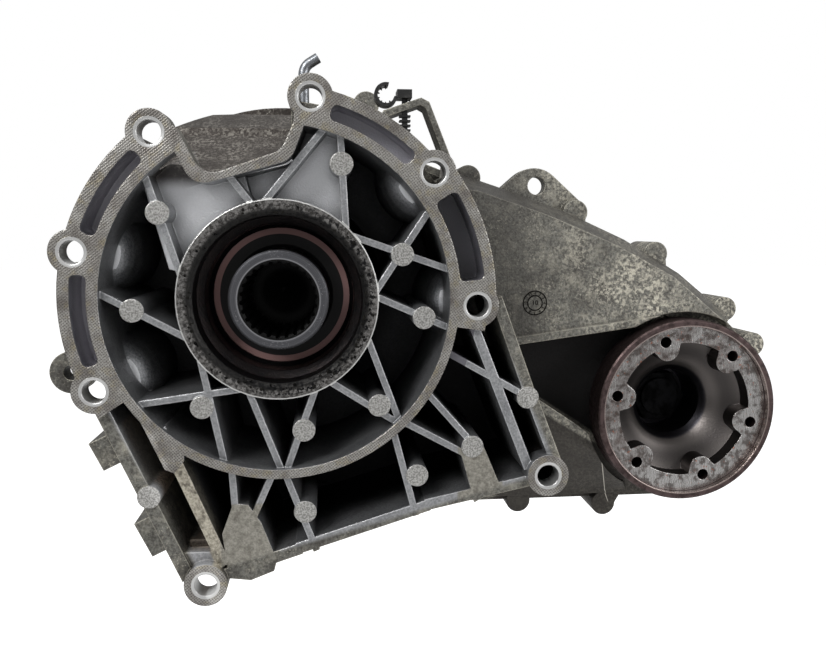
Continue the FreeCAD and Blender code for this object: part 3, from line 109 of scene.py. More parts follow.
@dataclass
class Place:
    """Where a surface point lies on its piece, in millimetres, and which way it faces."""

    tree: Tree
    point: Socket = field(init=False)
    x: Socket = field(init=False)
    y: Socket = field(init=False)
    z: Socket = field(init=False)
    facing: Socket = field(init=False)
    normal: Socket = field(init=False)

    def __post_init__(self) -> None:
        """Lays the coordinate nodes down."""
        coords = add(self.tree, "ShaderNodeTexCoord")
        scaled = add(self.tree, "ShaderNodeVectorMath", {0: coords.outputs["Object"], "Scale": 1 / MM},
                     operation="SCALE")
        split = add(self.tree, "ShaderNodeSeparateXYZ", {0: scaled.outputs[0]})
        normals = add(self.tree, "ShaderNodeSeparateXYZ", {0: coords.outputs["Normal"]})
        front = add(self.tree, "ShaderNodeMath", {0: normals.outputs[1], 1: -0.9}, operation="LESS_THAN")
        self.point = scaled.outputs[0]
        self.x, self.y, self.z = split.outputs[0], split.outputs[1], split.outputs[2]
        self.normal = coords.outputs["Normal"]
        self.facing = front.outputs[0]

    def above(self, value: Socket, low: float, soft: float = 0.1) -> Socket:
        """Mask of the points whose value is over a limit.

        Args:
            value: Socket that is tested.
            low: The limit.
            soft: Half the width over which the edge fades.

        Returns:
            Socket that is 1 over the limit and 0 under it.
        """
        feeds = {"Value": value, "From Min": low - soft, "From Max": low + soft}
        return add(self.tree, "ShaderNodeMapRange", feeds, interpolation_type="SMOOTHSTEP").outputs[0]

    def below(self, value: Socket, high: float, soft: float = 0.1) -> Socket:
        """Mask of the points whose value is under a limit.

        Args:
            value: Socket that is tested.
            high: The limit.
            soft: Half the width over which the edge fades.

        Returns:
            Socket that is 1 under the limit and 0 over it.
        """
        feeds = {"Value": value, "From Min": high - soft, "From Max": high + soft,
                 "To Min": 1.0, "To Max": 0.0}
        return add(self.tree, "ShaderNodeMapRange", feeds, interpolation_type="SMOOTHSTEP").outputs[0]

    def band(self, value: Socket, low: float, high: float, soft: float = 0.1) -> Socket:
        """Mask of the points whose value lies between two limits."""
        return self.both(self.above(value, low, soft), self.below(value, high, soft))

    def within(self, zone: Zone) -> Socket:
        """Mask of the points in a zone."""
        spans = ((self.x, zone.x), (self.y, zone.y), (self.z, zone.z))
        return self.both(*(self.band(value, *span) for value, span in spans if span is not None))

    def both(self, *masks: Socket) -> Socket:
        """Mask of the points that all the given masks hold.

        Args:
            masks: One mask or more.

        Returns:
            Their product.
        """
        result = masks[0]
        for mask in masks[1:]:
            result = add(self.tree, "ShaderNodeMath", {0: result, 1: mask}, operation="MULTIPLY").outputs[0]
        return result

    def either(self, one: Socket, other: Socket) -> Socket:
        """Mask of the points that one of two masks holds."""
        return add(self.tree, "ShaderNodeMath", {0: one, 1: other}, operation="MAXIMUM").outputs[0]

    def radius(self, x: float = 0.0, z: float = 0.0) -> Socket:
        """Distance from an axis along Y.

        Args:
            x: Where the axis crosses the XZ plane.
            z: The same, upwards.

        Returns:
            The distance in millimetres.
        """
        flat = add(self.tree, "ShaderNodeCombineXYZ", {0: self.x, 2: self.z})
        return add(self.tree, "ShaderNodeVectorMath", {0: flat.outputs[0], 1: (x, 0.0, z)},
                   operation="DISTANCE").outputs["Value"]

    def beyond(self, line: Line) -> Socket:
        """Signed distance to the left of a line.

        Args:
            line: Its two points, as seen from the front.

        Returns:
            The distance in millimetres, negative on the right.
        """
        a, b = line
        dx, dz = b[0] - a[0], b[1] - a[1]
        length = math.hypot(dx, dz)
        nx, nz = -dz / length, dx / length
        dot = add(self.tree, "ShaderNodeVectorMath", {0: self.point, 1: (nx, 0.0, nz)},
                  operation="DOT_PRODUCT")
        return add(self.tree, "ShaderNodeMath", {0: dot.outputs["Value"], 1: -(a[0] * nx + a[1] * nz)},
                   operation="ADD").outputs[0]

    def left_of(self, line: Line, margin: float, soft: float) -> Socket:
        """Mask of the points more than a margin to the left of a line."""
        return self.above(self.beyond(line), margin, soft)

    def blotch(self, size: float, low: float, high: float, detail: float = 4.0, seed: float = 0.0) -> Socket:
        """Cloudy mask.

        Args:
            size: Width of its clouds in millimetres.
            low: Noise value at which a cloud starts.
            high: Noise value at which it is full.
            detail: Octaves of the noise.
            seed: Offset that gives other clouds of the same kind.

        Returns:
            Socket that is 1 in the clouds and 0 between them.
        """
        moved = add(self.tree, "ShaderNodeVectorMath", {0: self.point, 1: (seed, seed * 1.7, -seed)},
                    operation="ADD")
        clouds = add(self.tree, "ShaderNodeTexNoise",
                     {"Vector": moved.outputs[0], "Scale": 1.0 / size, "Detail": detail, "Roughness": 0.6})
        return add(self.tree, "ShaderNodeMapRange",
                   {"Value": clouds.outputs[0], "From Min": low, "From Max": high}).outputs[0]

    def share(self, mask: Socket, part: float) -> Socket:
        """A mask weakened to part of its strength."""
        return add(self.tree, "ShaderNodeMath", {0: mask, 1: part}, operation="MULTIPLY").outputs[0]

    def outside(self, mask: Socket) -> Socket:
        """Mask of the points that the given mask leaves out."""
        return add(self.tree, "ShaderNodeMath", {0: 1.0, 1: mask}, operation="SUBTRACT").outputs[0]

    def edges(self, reach_mm: float) -> Socket:
        """Mask of the points near a sharp edge or corner.

        Args:
            reach_mm: How near.

        Returns:
            Socket that is 1 on the edges.
        """
        round_off = add(self.tree, "ShaderNodeBevel", {"Radius": reach_mm * MM}, samples=6)
        flat = add(self.tree, "ShaderNodeNewGeometry")
        agree = add(self.tree, "ShaderNodeVectorMath",
                    {0: round_off.outputs[0], 1: flat.outputs["True Normal"]}, operation="DOT_PRODUCT")
        return add(self.tree, "ShaderNodeMapRange",
                   {"Value": agree.outputs["Value"], "From Min": 0.98, "From Max": 0.8}).outputs[0]

    def shaded_nooks(self, reach_mm: float) -> Socket:
        """Mask of the corners and hollows from ambient occlusion, for painted shade and dirt there.

        Args:
            reach_mm: How far off a wall still shades a point.

        Returns:
            Socket that is 1 in the nooks.
        """
        open_sky = add(self.tree, "ShaderNodeAmbientOcclusion", {"Distance": reach_mm * MM}, samples=6,
                       only_local=True)
        return add(self.tree, "ShaderNodeMapRange",
                   {"Value": open_sky.outputs["AO"], "From Min": 0.8, "From Max": 0.25}).outputs[0]

    def tint(self, under: Any, over: Any, mask: Socket, strength: float = 1.0) -> Socket:
        """Lays one colour over another.

        Args:
            under: Colour socket or hex colour that is there.
            over: Colour socket or hex colour that is laid on it.
            mask: Where it is laid.
            strength: How far it covers at most.

        Returns:
            The colour.
        """
        low, high = (linear(end) if isinstance(end, str) else end for end in (under, over))
        amount = mask if strength == 1.0 else self.share(mask, strength)
        return add(self.tree, "ShaderNodeMix", {0: amount, 6: low, 7: high}, data_type="RGBA").outputs[2]

    def level(self, under: Any, over: Any, mask: Socket) -> Socket:
        """Number that goes from under to over as the mask rises."""
        return add(self.tree, "ShaderNodeMix", {0: mask, 2: under, 3: over}, data_type="FLOAT").outputs[0]


def metal(name: str, metallic: float, paint: Callable[[Place], tuple[Socket, ...]],
          bevel_mm: float = 0.0, relief_mm: float = 0.1, **uniform: float) -> bpy.types.Material:
    """Makes a material from a function that gives its colour, roughness and relief.

    Args:
        name: Material name.
        metallic: 1 for bare metal, less under oxide or oil.
        paint: Function from the place to colour, roughness and height sockets, and
            to a fourth for how bare the metal is where that varies.
        bevel_mm: Radius to which sharp edges are worn, 0 for none.
        relief_mm: Depth of the relief.
        uniform: Further inputs of the shader that are the same all over.

    Returns:
        The material.
    """
    made = bpy.data.materials.new(name)
    made.use_nodes = True
    tree = made.node_tree
    tree.nodes.clear()
    place = Place(tree)
    colour, roughness, height, *bare = paint(place)
    feeds: dict[Any, Any] = {"Height": height, "Strength": 1.0, "Distance": relief_mm * MM}
    if bevel_mm > 0:
        worn = add(tree, "ShaderNodeBevel", {"Radius": bevel_mm * MM}, samples=6)
        feeds["Normal"] = worn.outputs[0]
    bump = add(tree, "ShaderNodeBump", feeds)
    shader = add(tree, "ShaderNodeBsdfPrincipled",
                 {"Base Color": colour, "Roughness": roughness, "Normal": bump.outputs[0],
                  "Metallic": bare[0] if bare else metallic})
    for key, value in uniform.items():
        shader.inputs[key.replace("_", " ")].default_value = value
    add(tree, "ShaderNodeOutputMaterial", {0: shader.outputs[0]})
    return made


# --- finishes ----------------------------------------------------------
@dataclass(frozen=True)
class CastAluminium:
    """Pressure die-cast aluminium, as cast: grey skin, brown oil stains, pale rubbed spots."""

    skin: str = "787771"
    shade: str = "504e4a"
    stain: str = "3f3c39"
    rubbed_and_highlight: str = "cdc8b8"
    dirt_and_shade: str = "2f2c29"
    rubbed_from_x: float = 170.0
    rubbed_fade: float = 60.0
    grain_mm: float = 0.9

    def paint(self, place: Place) -> tuple[Socket, Socket, Socket]:
        """Paints the bare skin.

        Args:
            place: Where the point lies.

        Returns:
            Colour, roughness and relief.
        """
        fine = place.blotch(1.5, 0.38, 0.62, detail=5.0, seed=7.0)
        colour = place.tint(self.skin, self.shade, fine)
        colour = place.tint(colour, self.stain, place.blotch(26.0, 0.48, 0.7), 0.75)
        colour = place.tint(colour, self.rubbed_and_highlight, place.blotch(9.0, 0.52, 0.72, seed=3.0), 0.25)
        # chips where the casting is handled, scattered specks all over
        chips = place.both(place.blotch(1.9, 0.46, 0.6, detail=6.0, seed=19.0),
                           place.blotch(24.0, 0.36, 0.58, seed=29.0),
                           place.above(place.x, self.rubbed_from_x, self.rubbed_fade))
        colour = place.tint(colour, self.rubbed_and_highlight, chips, 0.85)
        specks = place.both(place.blotch(1.2, 0.55, 0.64, detail=5.0, seed=83.0),
                            place.blotch(14.0, 0.4, 0.62, seed=87.0))
        colour = place.tint(colour, self.rubbed_and_highlight, specks, 0.45)
        # painted highlight, with some wear: every sharp edge lightened
        colour = place.tint(colour, self.rubbed_and_highlight, place.edges(1.2), 0.45)
        # painted shade, with dirt: corners and hollows darkened
        colour = place.tint(colour, self.dirt_and_shade, place.shaded_nooks(9.0), 0.6)
        grain = place.blotch(self.grain_mm, 0.3, 0.7, detail=3.0, seed=3.0)
        return colour, place.level(0.46, 0.66, grain), grain

    def build(self) -> bpy.types.Material:
        """Makes the material."""
        return metal("die_cast_aluminium_as_cast", 0.7, self.paint, bevel_mm=1.2, relief_mm=0.14)


@dataclass(frozen=True)
class FrontCastingFinish:
    """Front casing: rough skin, milled joint faces, bright bores, satin web, and cells painted black as
    shade.
    """

    holes: tuple[tuple[float, float], ...]
    hole_r: float = 5.75
    chamfer: float = 1.55
    cast: CastAluminium = CastAluminium()
    milled: str = "a9a7a2"
    bright: str = "bfbfbe"
    satin: str = "a0a1a3"
    pad: str = "b4b3b0"
    pocket: str = "5d5c62"
    cell_shade: str = "121213"
    bore: str = "1c1a1b"
    residue: str = "101011"
    bare: float = 0.8
    oiled_bare: float = 0.1
    # cutter marks: two wave patterns with bands about 1.2 mm apart
    cutter_turns: tuple[float, float] = (38.0, -52.0)
    cutter_scale: float = 0.27
    # radii about the input axis
    rim_bore_r: float = 45.4
    bore_r: float = 49.0
    rim_edge_r: float = 49.4
    hub_r: float = 50.0
    rim_r: float = 50.6
    bell_r: float = 86.8
    ring_r: float = 91.0
    pocket_wall_r: float = 100.6
    sealant_ring: Span = (42.0, 48.2, 0.9)
    pocket_ring: Span = (90.9, 105.2, 0.2)
    # lines across the face, seen from the front; each bounds an area, apart from the scratch
    left_edge: Line = ((-96.0, -46.0), (-50.0, -142.0))
    low_edge: Line = ((9.0, -132.5), (134.0, -99.5))
    right_edge: Line = ((146.0, -84.0), (108.0, 2.0))
    parting: Line = ((-60.0, -64.0), (-30.0, -137.0))
    notch_floor: Line = ((-34.5, 60.0), (3.0, 73.0))
    notch_left: Line = ((-46.5, 84.0), (-34.5, 60.0))
    notch_right: Line = ((3.0, 73.0), (9.5, 87.0))
    wing_foot: Line = ((140.0, -60.0), (206.0, -103.0))
    strut_foot: Line = ((206.0, -107.0), (136.0, -64.0))
    scratch: Line = ((187.6, -99.0), (203.0, -141.0))
    torn_side: Line = ((0.0, 60.0), (-40.0, -60.0))
    # depths behind the joint face
    face_y: Span = (-1.0, 0.3, 0.1)
    pad_y: Span = (2.8, 3.2, 0.1)
    plate_y: Span = (8.0, 31.0, 2.0)
    lit_plate_y: Span = (19.0, 31.0, 0.3)
    rim_y: Span = (1.0, 4.4, 0.2)
    stripe_y: Span = (15.0, 19.5, 0.4)
    ear_y: Span = (-1.0, 12.2, 0.1)
    # boxes that bound the painted shadows and the other marks
    beside_skirt: Zone = Zone(x=(-FAR, -20.0, 1.0), z=(-52.0, FAR, 1.0))
    left_block: Zone = Zone(x=(-32.0, -2.0, 0.8), y=(3.8, 4.2, 0.1), z=(-150.0, -104.5, 0.8))
    right_block: Zone = Zone(x=(91.0, 115.0, 0.8), y=(3.8, 4.2, 0.1), z=(-110.0, -76.0, 0.8))
    under_wing: Zone = Zone(x=(104.0, 235.0, 3.0), y=(62.0, 200.0, 2.0), z=(-120.0, -25.0, 2.0))
    roof: Zone = Zone(x=(-75.0, 12.0, 6.0), z=(58.0, FAR, 4.0))
    wing_left: Zone = Zone(x=(96.0, 148.0, 22.0), y=(55.0, 98.0, 2.0), z=(-28.0, FAR, 3.0))
    wing_slope: Zone = Zone(x=(84.0, FAR, 4.0), y=(60.5, 86.0, 0.5))
    below_strut: Zone = Zone(x=(128.0, 300.0, 3.0), y=(13.0, 130.0, 0.5), z=(-160.0, -62.0, 3.0))
    scratched: Zone = Zone(y=(55.0, 90.0, 1.0), z=(-139.0, -101.0, 1.0))
    pockets: Zone = Zone(y=(0.4, 20.5, 0.2), z=(-40.0, FAR, 1.0))
    notch_gap: Zone = Zone(x=(-56.0, 14.6, 0.3), z=(60.0, FAR, 1.0))
    right_pockets: Zone = Zone(x=(80.0, FAR, 0.5), z=(3.0, 58.0, 0.5))

    def paint(self, place: Place) -> tuple[Socket, Socket, Socket, Socket]:
        """Paints the casting zone by zone.

        Args:
            place: Where the point lies.

        Returns:
            Colour, roughness, relief and how bare the metal is.
        """
        hub = place.radius()
        colour, rough, height = self.cast.paint(place)
        colour, rough = self.web(place, hub, colour, rough)
        colour = self.shadows(place, hub, colour)
        pocket = place.both(place.band(hub, *self.pocket_ring), place.within(self.pockets),
                            self.in_ring(place, hub), place.outside(place.within(self.notch_gap)))
        colour = place.tint(colour, self.pocket_tone_and_light(place), pocket)
        rough = place.level(rough, 0.3, pocket)
        oiled = place.either(pocket, self.channel(place, hub, 5.5, 1.0))
        bare = place.level(self.bare, self.oiled_bare, oiled)
        # ejector pads and rib tops
        speckled = place.tint(self.pad, "82817e", place.blotch(0.9, 0.4, 0.6, detail=1.0, seed=11.0))
        colour = place.tint(colour, speckled, place.both(place.facing, place.band(place.y, *self.pad_y)))
        face = place.both(place.facing, place.band(place.y, *self.face_y))
        milled, cutter = self.milled_face(place)
        colour = place.tint(colour, milled, face)
        rough = place.level(rough, 0.36, face)
        height = place.level(height, cutter, face)
        colour, rough = self.hub_rim(place, hub, colour, rough)
        # bright ear holes
        ear = place.both(place.below(self.to_hole(place), self.hole_r + self.chamfer, 0.06),
                         place.band(place.y, *self.ear_y))
        colour = place.tint(colour, self.bright, ear)
        return colour, place.level(rough, 0.34, ear), place.level(height, 0.5, ear), bare

    def web(self, place: Place, hub: Socket, skin: Socket, rough: Socket) -> tuple[Socket, Socket]:
        """Paints satin ribs and walls inside bell and skirt, with painted shade that darkens them the deeper
        they lie and painted highlights on their edges and front faces.

        Args:
            place: Where the point lies.
            hub: Distance from the input axis.
            skin: Colour of the casting so far.
            rough: Its roughness so far.

        Returns:
            Colour and roughness.
        """
        skirt = place.both(place.left_of(self.left_edge, 6.5, 1.5), place.left_of(self.low_edge, 5.0, 1.5),
                           place.left_of(self.right_edge, 4.0, 1.5), place.below(place.z, 2.0, 2.0),
                           place.outside(place.within(self.beside_skirt)))
        bell = place.below(hub, self.bell_r, 0.3)
        notch = place.both(*(place.left_of(line, -0.6, 0.2)
                             for line in (self.notch_floor, self.notch_left, self.notch_right)))
        inside = place.both(place.either(skirt, bell), place.outside(notch))
        grain = place.blotch(1.1, 0.35, 0.65, detail=3.0, seed=31.0)
        satin = place.tint(self.satin, "7f8082", grain)
        satin = place.tint(satin, "5b5c60", place.blotch(14.0, 0.45, 0.65, seed=2.0), 0.35)
        # painted highlight: front faces of the plates lightened
        lit_fronts = place.both(place.facing, place.band(place.y, *self.plate_y))
        satin = place.tint(satin, "e0e1e4", lit_fronts, 0.75)
        # painted highlight, with some wear: edges lightened
        satin = place.tint(satin, "c9cacb", place.edges(1.6), 0.55)
        # painted shade, with dirt: corners and hollows darkened
        satin = place.tint(satin, "202021", place.shaded_nooks(8.0), 0.6)
        # painted shade: cells turn black with depth, sooner in the middle than beside the bell's wall
        beside_wall = place.both(bell, place.above(hub, 62.0, 6.0))
        depth = place.level(place.above(place.y, 30.0, 20.0), place.above(place.y, 66.0, 22.0), beside_wall)
        plates = place.both(place.facing, place.band(place.y, *self.lit_plate_y))
        satin = place.tint(satin, self.cell_shade, place.both(depth, place.outside(plates)))
        # rough parting wall, and the long channel left of it
        wall = place.both(place.band(place.beyond(self.parting), -4.6, 3.4, 0.6), self.below_bell(place, hub),
                          place.below(place.y, 16.0, 8.0))
        rough_cast = place.tint("c2bcac", "8a8478", grain)
        rough_cast = place.tint(rough_cast, "4d4740", place.blotch(4.0, 0.5, 0.64, seed=91.0), 0.7)
        satin = place.tint(satin, rough_cast, wall)
        channel = place.both(self.channel(place, hub, 6.5, 1.5), place.above(place.y, 10.0, 6.0))
        channel_skin = place.tint("8d8073", "4a413b", place.blotch(1.8, 0.42, 0.58, detail=5.0, seed=93.0))
        satin = place.tint(satin, channel_skin, channel)
        blocks = place.either(place.within(self.left_block), place.within(self.right_block))
        block = place.tint("9d9a91", "7a776f", grain)
        block = place.tint(block, "57534c", place.blotch(5.0, 0.5, 0.66, detail=6.0, seed=95.0), 0.6)
        satin = place.tint(satin, block, place.both(place.facing, blocks))
        return place.tint(skin, satin, inside), place.level(rough, 0.36, inside)

    def below_bell(self, place: Place, hub: Socket) -> Socket:
        """Mask of the skirt below the bell's ring."""
        return place.both(place.above(hub, self.ring_r, 0.5), place.below(place.z, -62.0, 1.0))

    def channel(self, place: Place, hub: Socket, margin: float, soft: float) -> Socket:
        """Mask of the long channel between the left edge and the parting wall.

        Args:
            place: Where the point lies.
            hub: Distance from the input axis.
            margin: Distance kept from the left edge.
            soft: Half the width over which that side fades.

        Returns:
            The mask.
        """
        return place.both(place.below(place.beyond(self.parting), -3.2, 0.5),
                          place.left_of(self.left_edge, margin, soft), self.below_bell(place, hub))

    def shadows(self, place: Place, hub: Socket, colour: Socket) -> Socket:
        """Paints shade on the roof beyond the bell, under and left of the wing, on its upward slope and below
        the strut, and one long scratch.

        Args:
            place: Where the point lies.
            hub: Distance from the input axis.
            colour: Colour of the casting so far.

        Returns:
            The colour.
        """
        # painted shadow: the hollow under the wing nearly black
        under_wing = place.both(place.within(self.under_wing), place.left_of(self.wing_foot, 0.5, 1.0))
        colour = place.tint(colour, "1d1c1c", under_wing)
        # painted shade, mottled: the roof of the case beyond the bell darkened
        behind = place.both(place.above(place.y, 12.5, 0.5), place.above(hub, self.hub_r, 0.5))
        in_bell = place.both(place.below(hub, self.bell_r, 0.3),
                             place.below(place.beyond(self.notch_floor), -0.6, 0.2))
        cloud = place.both(place.blotch(1.5, 0.47, 0.57, detail=6.0, seed=97.0),
                           place.blotch(12.0, 0.36, 0.6, seed=99.0))
        roof = place.both(behind, place.within(self.roof), place.outside(in_bell))
        colour = place.tint(colour, place.tint("37322f", "77736d", cloud), roof, 0.93)
        # painted shade: the left of the wing darkened
        colour = place.tint(colour, "3e3c3a", place.both(behind, place.within(self.wing_left)), 0.5)
        # painted shade: the slope that faces up and forwards darkened
        slope = place.both(self.upward(place), place.within(self.wing_slope))
        colour = place.tint(colour, "3f3c39", slope, 0.5)
        # painted shadow below the strut
        strut = place.both(place.left_of(self.strut_foot, 0.5, 1.0), place.within(self.below_strut))
        colour = place.tint(colour, "3a3734", strut, 0.9)
        scratch = place.both(place.band(place.beyond(self.scratch), -0.22, 0.22, 0.08),
                             place.within(self.scratched))
        return place.tint(colour, "b9b5ac", scratch)

    def upward(self, place: Place) -> Socket:
        """Mask of the surfaces that slope up and forwards.

        Args:
            place: Where the point lies.

        Returns:
            The mask.
        """
        split = add(place.tree, "ShaderNodeSeparateXYZ", {0: place.normal})
        return place.both(place.band(split.outputs[2], 0.35, 2.0, 0.1),
                          place.band(split.outputs[1], -0.85, -0.05, 0.05))

    def in_ring(self, place: Place, hub: Socket) -> Socket:
        """Mask of the pockets' own walls, clear of the ring's outer side."""
        return place.either(place.below(hub, self.pocket_wall_r, 0.2), place.within(self.right_pockets))

    def pocket_tone_and_light(self, place: Place) -> Socket:
        """Colours the oily pockets between the ears, with painted light on their deeper floors to the left
        and painted shade to the right.

        Args:
            place: Where the point lies.

        Returns:
            The colour.
        """
        sheen = place.tint(self.pocket, "4c4b50", place.blotch(7.0, 0.4, 0.65, seed=9.0))
        # painted light and shade: deeper floors paler on the left, darker on the right
        depths = place.tint("b6b4bb", "504f54", place.above(place.x, 72.0, 14.0))
        return place.tint(sheen, depths, place.above(place.y, 9.0, 6.0))

    def milled_face(self, place: Place) -> tuple[Socket, Socket]:
        """Colours the milled joint face, browned and crossed by the marks of the cutter.

        Args:
            place: Where the point lies.

        Returns:
            Its colour and the marks.
        """
        marks = []
        for turn in self.cutter_turns:
            turned = add(place.tree, "ShaderNodeMapping",
                         {"Vector": place.point, "Rotation": (0.0, math.radians(turn), 0.0)})
            marks.append(add(place.tree, "ShaderNodeTexWave",
                             {"Vector": turned.outputs[0], "Scale": self.cutter_scale, "Distortion": 0.7},
                             wave_type="BANDS", bands_direction="X").outputs[1])
        cutter = place.both(*marks)
        browned = place.tint(self.milled, "75706b", place.blotch(11.0, 0.4, 0.7, seed=5.0))
        browned = place.tint(browned, "a09679", place.blotch(5.0, 0.52, 0.66, detail=6.0, seed=61.0), 0.55)
        browned = place.tint(browned, "4d4947", place.blotch(0.8, 0.45, 0.6, detail=2.0, seed=71.0), 0.4)
        return place.tint(browned, "45413f", cutter), cutter

    def hub_rim(self, place: Place, hub: Socket, colour: Socket, rough: Socket) -> tuple[Socket, Socket]:
        """Paints the hub's turned rim, the sealant torn on it and painted shade in the bore behind.

        Args:
            place: Where the point lies.
            hub: Distance from the input axis.
            colour: Colour of the casting so far.
            rough: Its roughness so far.

        Returns:
            Colour and roughness.
        """
        rim = place.both(place.below(hub, self.rim_r, 0.1), place.band(place.y, *self.rim_y))
        low_right = place.left_of(self.torn_side, 10.0, 40.0)
        torn = place.both(place.blotch(2.2, 0.5, 0.56, detail=6.0, seed=23.0),
                          place.band(hub, *self.sealant_ring), place.level(0.45, 1.0, low_right))
        turned = place.tint("82807e", "393735", place.blotch(1.4, 0.4, 0.6, seed=33.0))
        turned = place.tint(turned, "242322", place.below(hub, self.rim_bore_r, 1.2))
        turned = place.tint(turned, "c6c6c4", place.above(hub, self.rim_edge_r, 0.2))
        colour = place.tint(colour, place.tint(turned, self.residue, torn), rim)
        rough = place.level(rough, place.level(0.28, 0.8, torn), rim)
        # painted shade: the bore behind the rim nearly black, with faint brown stripes
        bore = place.both(place.below(hub, self.bore_r, 0.2), place.above(place.y, self.rim_y[1], 0.2))
        stripes = place.both(place.band(place.y, *self.stripe_y), place.blotch(6.0, 0.4, 0.6, seed=43.0))
        colour = place.tint(colour, place.tint(self.bore, "3a2e2b", stripes, 0.25), bore)
        return colour, place.level(rough, 0.34, bore)

    def to_hole(self, place: Place) -> Socket:
        """Measures how far the nearest ear hole is.

        Args:
            place: Where the point lies.

        Returns:
            Distance from its axis.
        """
        near = place.radius(*self.holes[0])
        for x, z in self.holes[1:]:
            near = add(place.tree, "ShaderNodeMath", {0: near, 1: place.radius(x, z)},
                       operation="MINIMUM").outputs[0]
        return near

    def build(self) -> bpy.types.Material:
        """Makes the material."""
        return metal("die_cast_aluminium_front_casing", self.bare, self.paint, bevel_mm=1.1, relief_mm=0.1)


@dataclass(frozen=True)
class TurnedSteel:
    """Turned steel with a thin brown oxide, rubbed bright where it was last cut."""

    name: str
    steel: str
    oxide: str
    share: float = 0.5
    polish: float = 0.3
    patch_mm: float = 5.0

    def paint(self, place: Place) -> tuple[Socket, Socket, Socket]:
        """Paints the metal with patches of oxide.

        Args:
            place: Where the point lies.

        Returns:
            Colour, roughness and relief.
        """
        patches = place.blotch(self.patch_mm, self.share - 0.08, self.share + 0.12)
        fine = place.blotch(0.9, 0.35, 0.65, detail=2.0, seed=13.0)
        rough = place.level(self.polish, self.polish + 0.22, patches)
        return place.tint(self.steel, self.oxide, patches), rough, fine

    def build(self) -> bpy.types.Material:
        """Makes the material."""
        return metal(self.name, 1.0, self.paint, bevel_mm=0.4, relief_mm=0.02)


@dataclass(frozen=True)
class ShaftFinish:
    """Turned steel of the input shaft: oily dark front with fine rings, splined bore painted nearly black as
    shade.
    """

    trough: str = "2f3033"
    front: str = "69696d"
    fleck: str = "a9a9ab"
    lip: str = "828285"
    bore: str = "141414"
    side: str = "171718"
    bore_r: float = 20.3
    lip_w: float = 0.7
    chamfer_r: float = 24.2
    side_r: float = 24.6

    def paint(self, place: Place) -> tuple[Socket, Socket, Socket]:
        """Paints the turned front, and painted shade on the bore and the side.

        Args:
            place: Where the point lies.

        Returns:
            Colour, roughness and relief.
        """
        reach = place.radius()
        rings = add(place.tree, "ShaderNodeTexNoise", {"W": reach, "Scale": 2.2, "Detail": 4.0},
                    noise_dimensions="1D").outputs[0]
        colour = place.tint(self.trough, self.front, rings)
        flecks = place.both(place.blotch(0.8, 0.58, 0.66, seed=51.0), place.blotch(9.0, 0.45, 0.6, seed=53.0))
        colour = place.tint(colour, self.fleck, flecks, 0.6)
        lips = place.either(place.above(reach, self.chamfer_r, 0.15),
                            place.band(reach, self.bore_r, self.bore_r + self.lip_w, 0.15))
        colour = place.tint(colour, self.lip, place.both(lips, place.facing))
        # painted shade: the splined bore and the hidden side of the shaft nearly black
        colour = place.tint(colour, self.bore, place.below(reach, self.bore_r, 0.15))
        outer = place.both(place.above(reach, self.side_r, 0.1), place.above(place.y, 8.0, 3.0))
        colour = place.tint(colour, self.side, outer)
        return colour, place.level(0.36, 0.5, rings), rings

    def build(self) -> bpy.types.Material:
        """Makes the material."""
        return metal("turned_steel_input_shaft", 0.9, self.paint, bevel_mm=0.5, relief_mm=0.03)


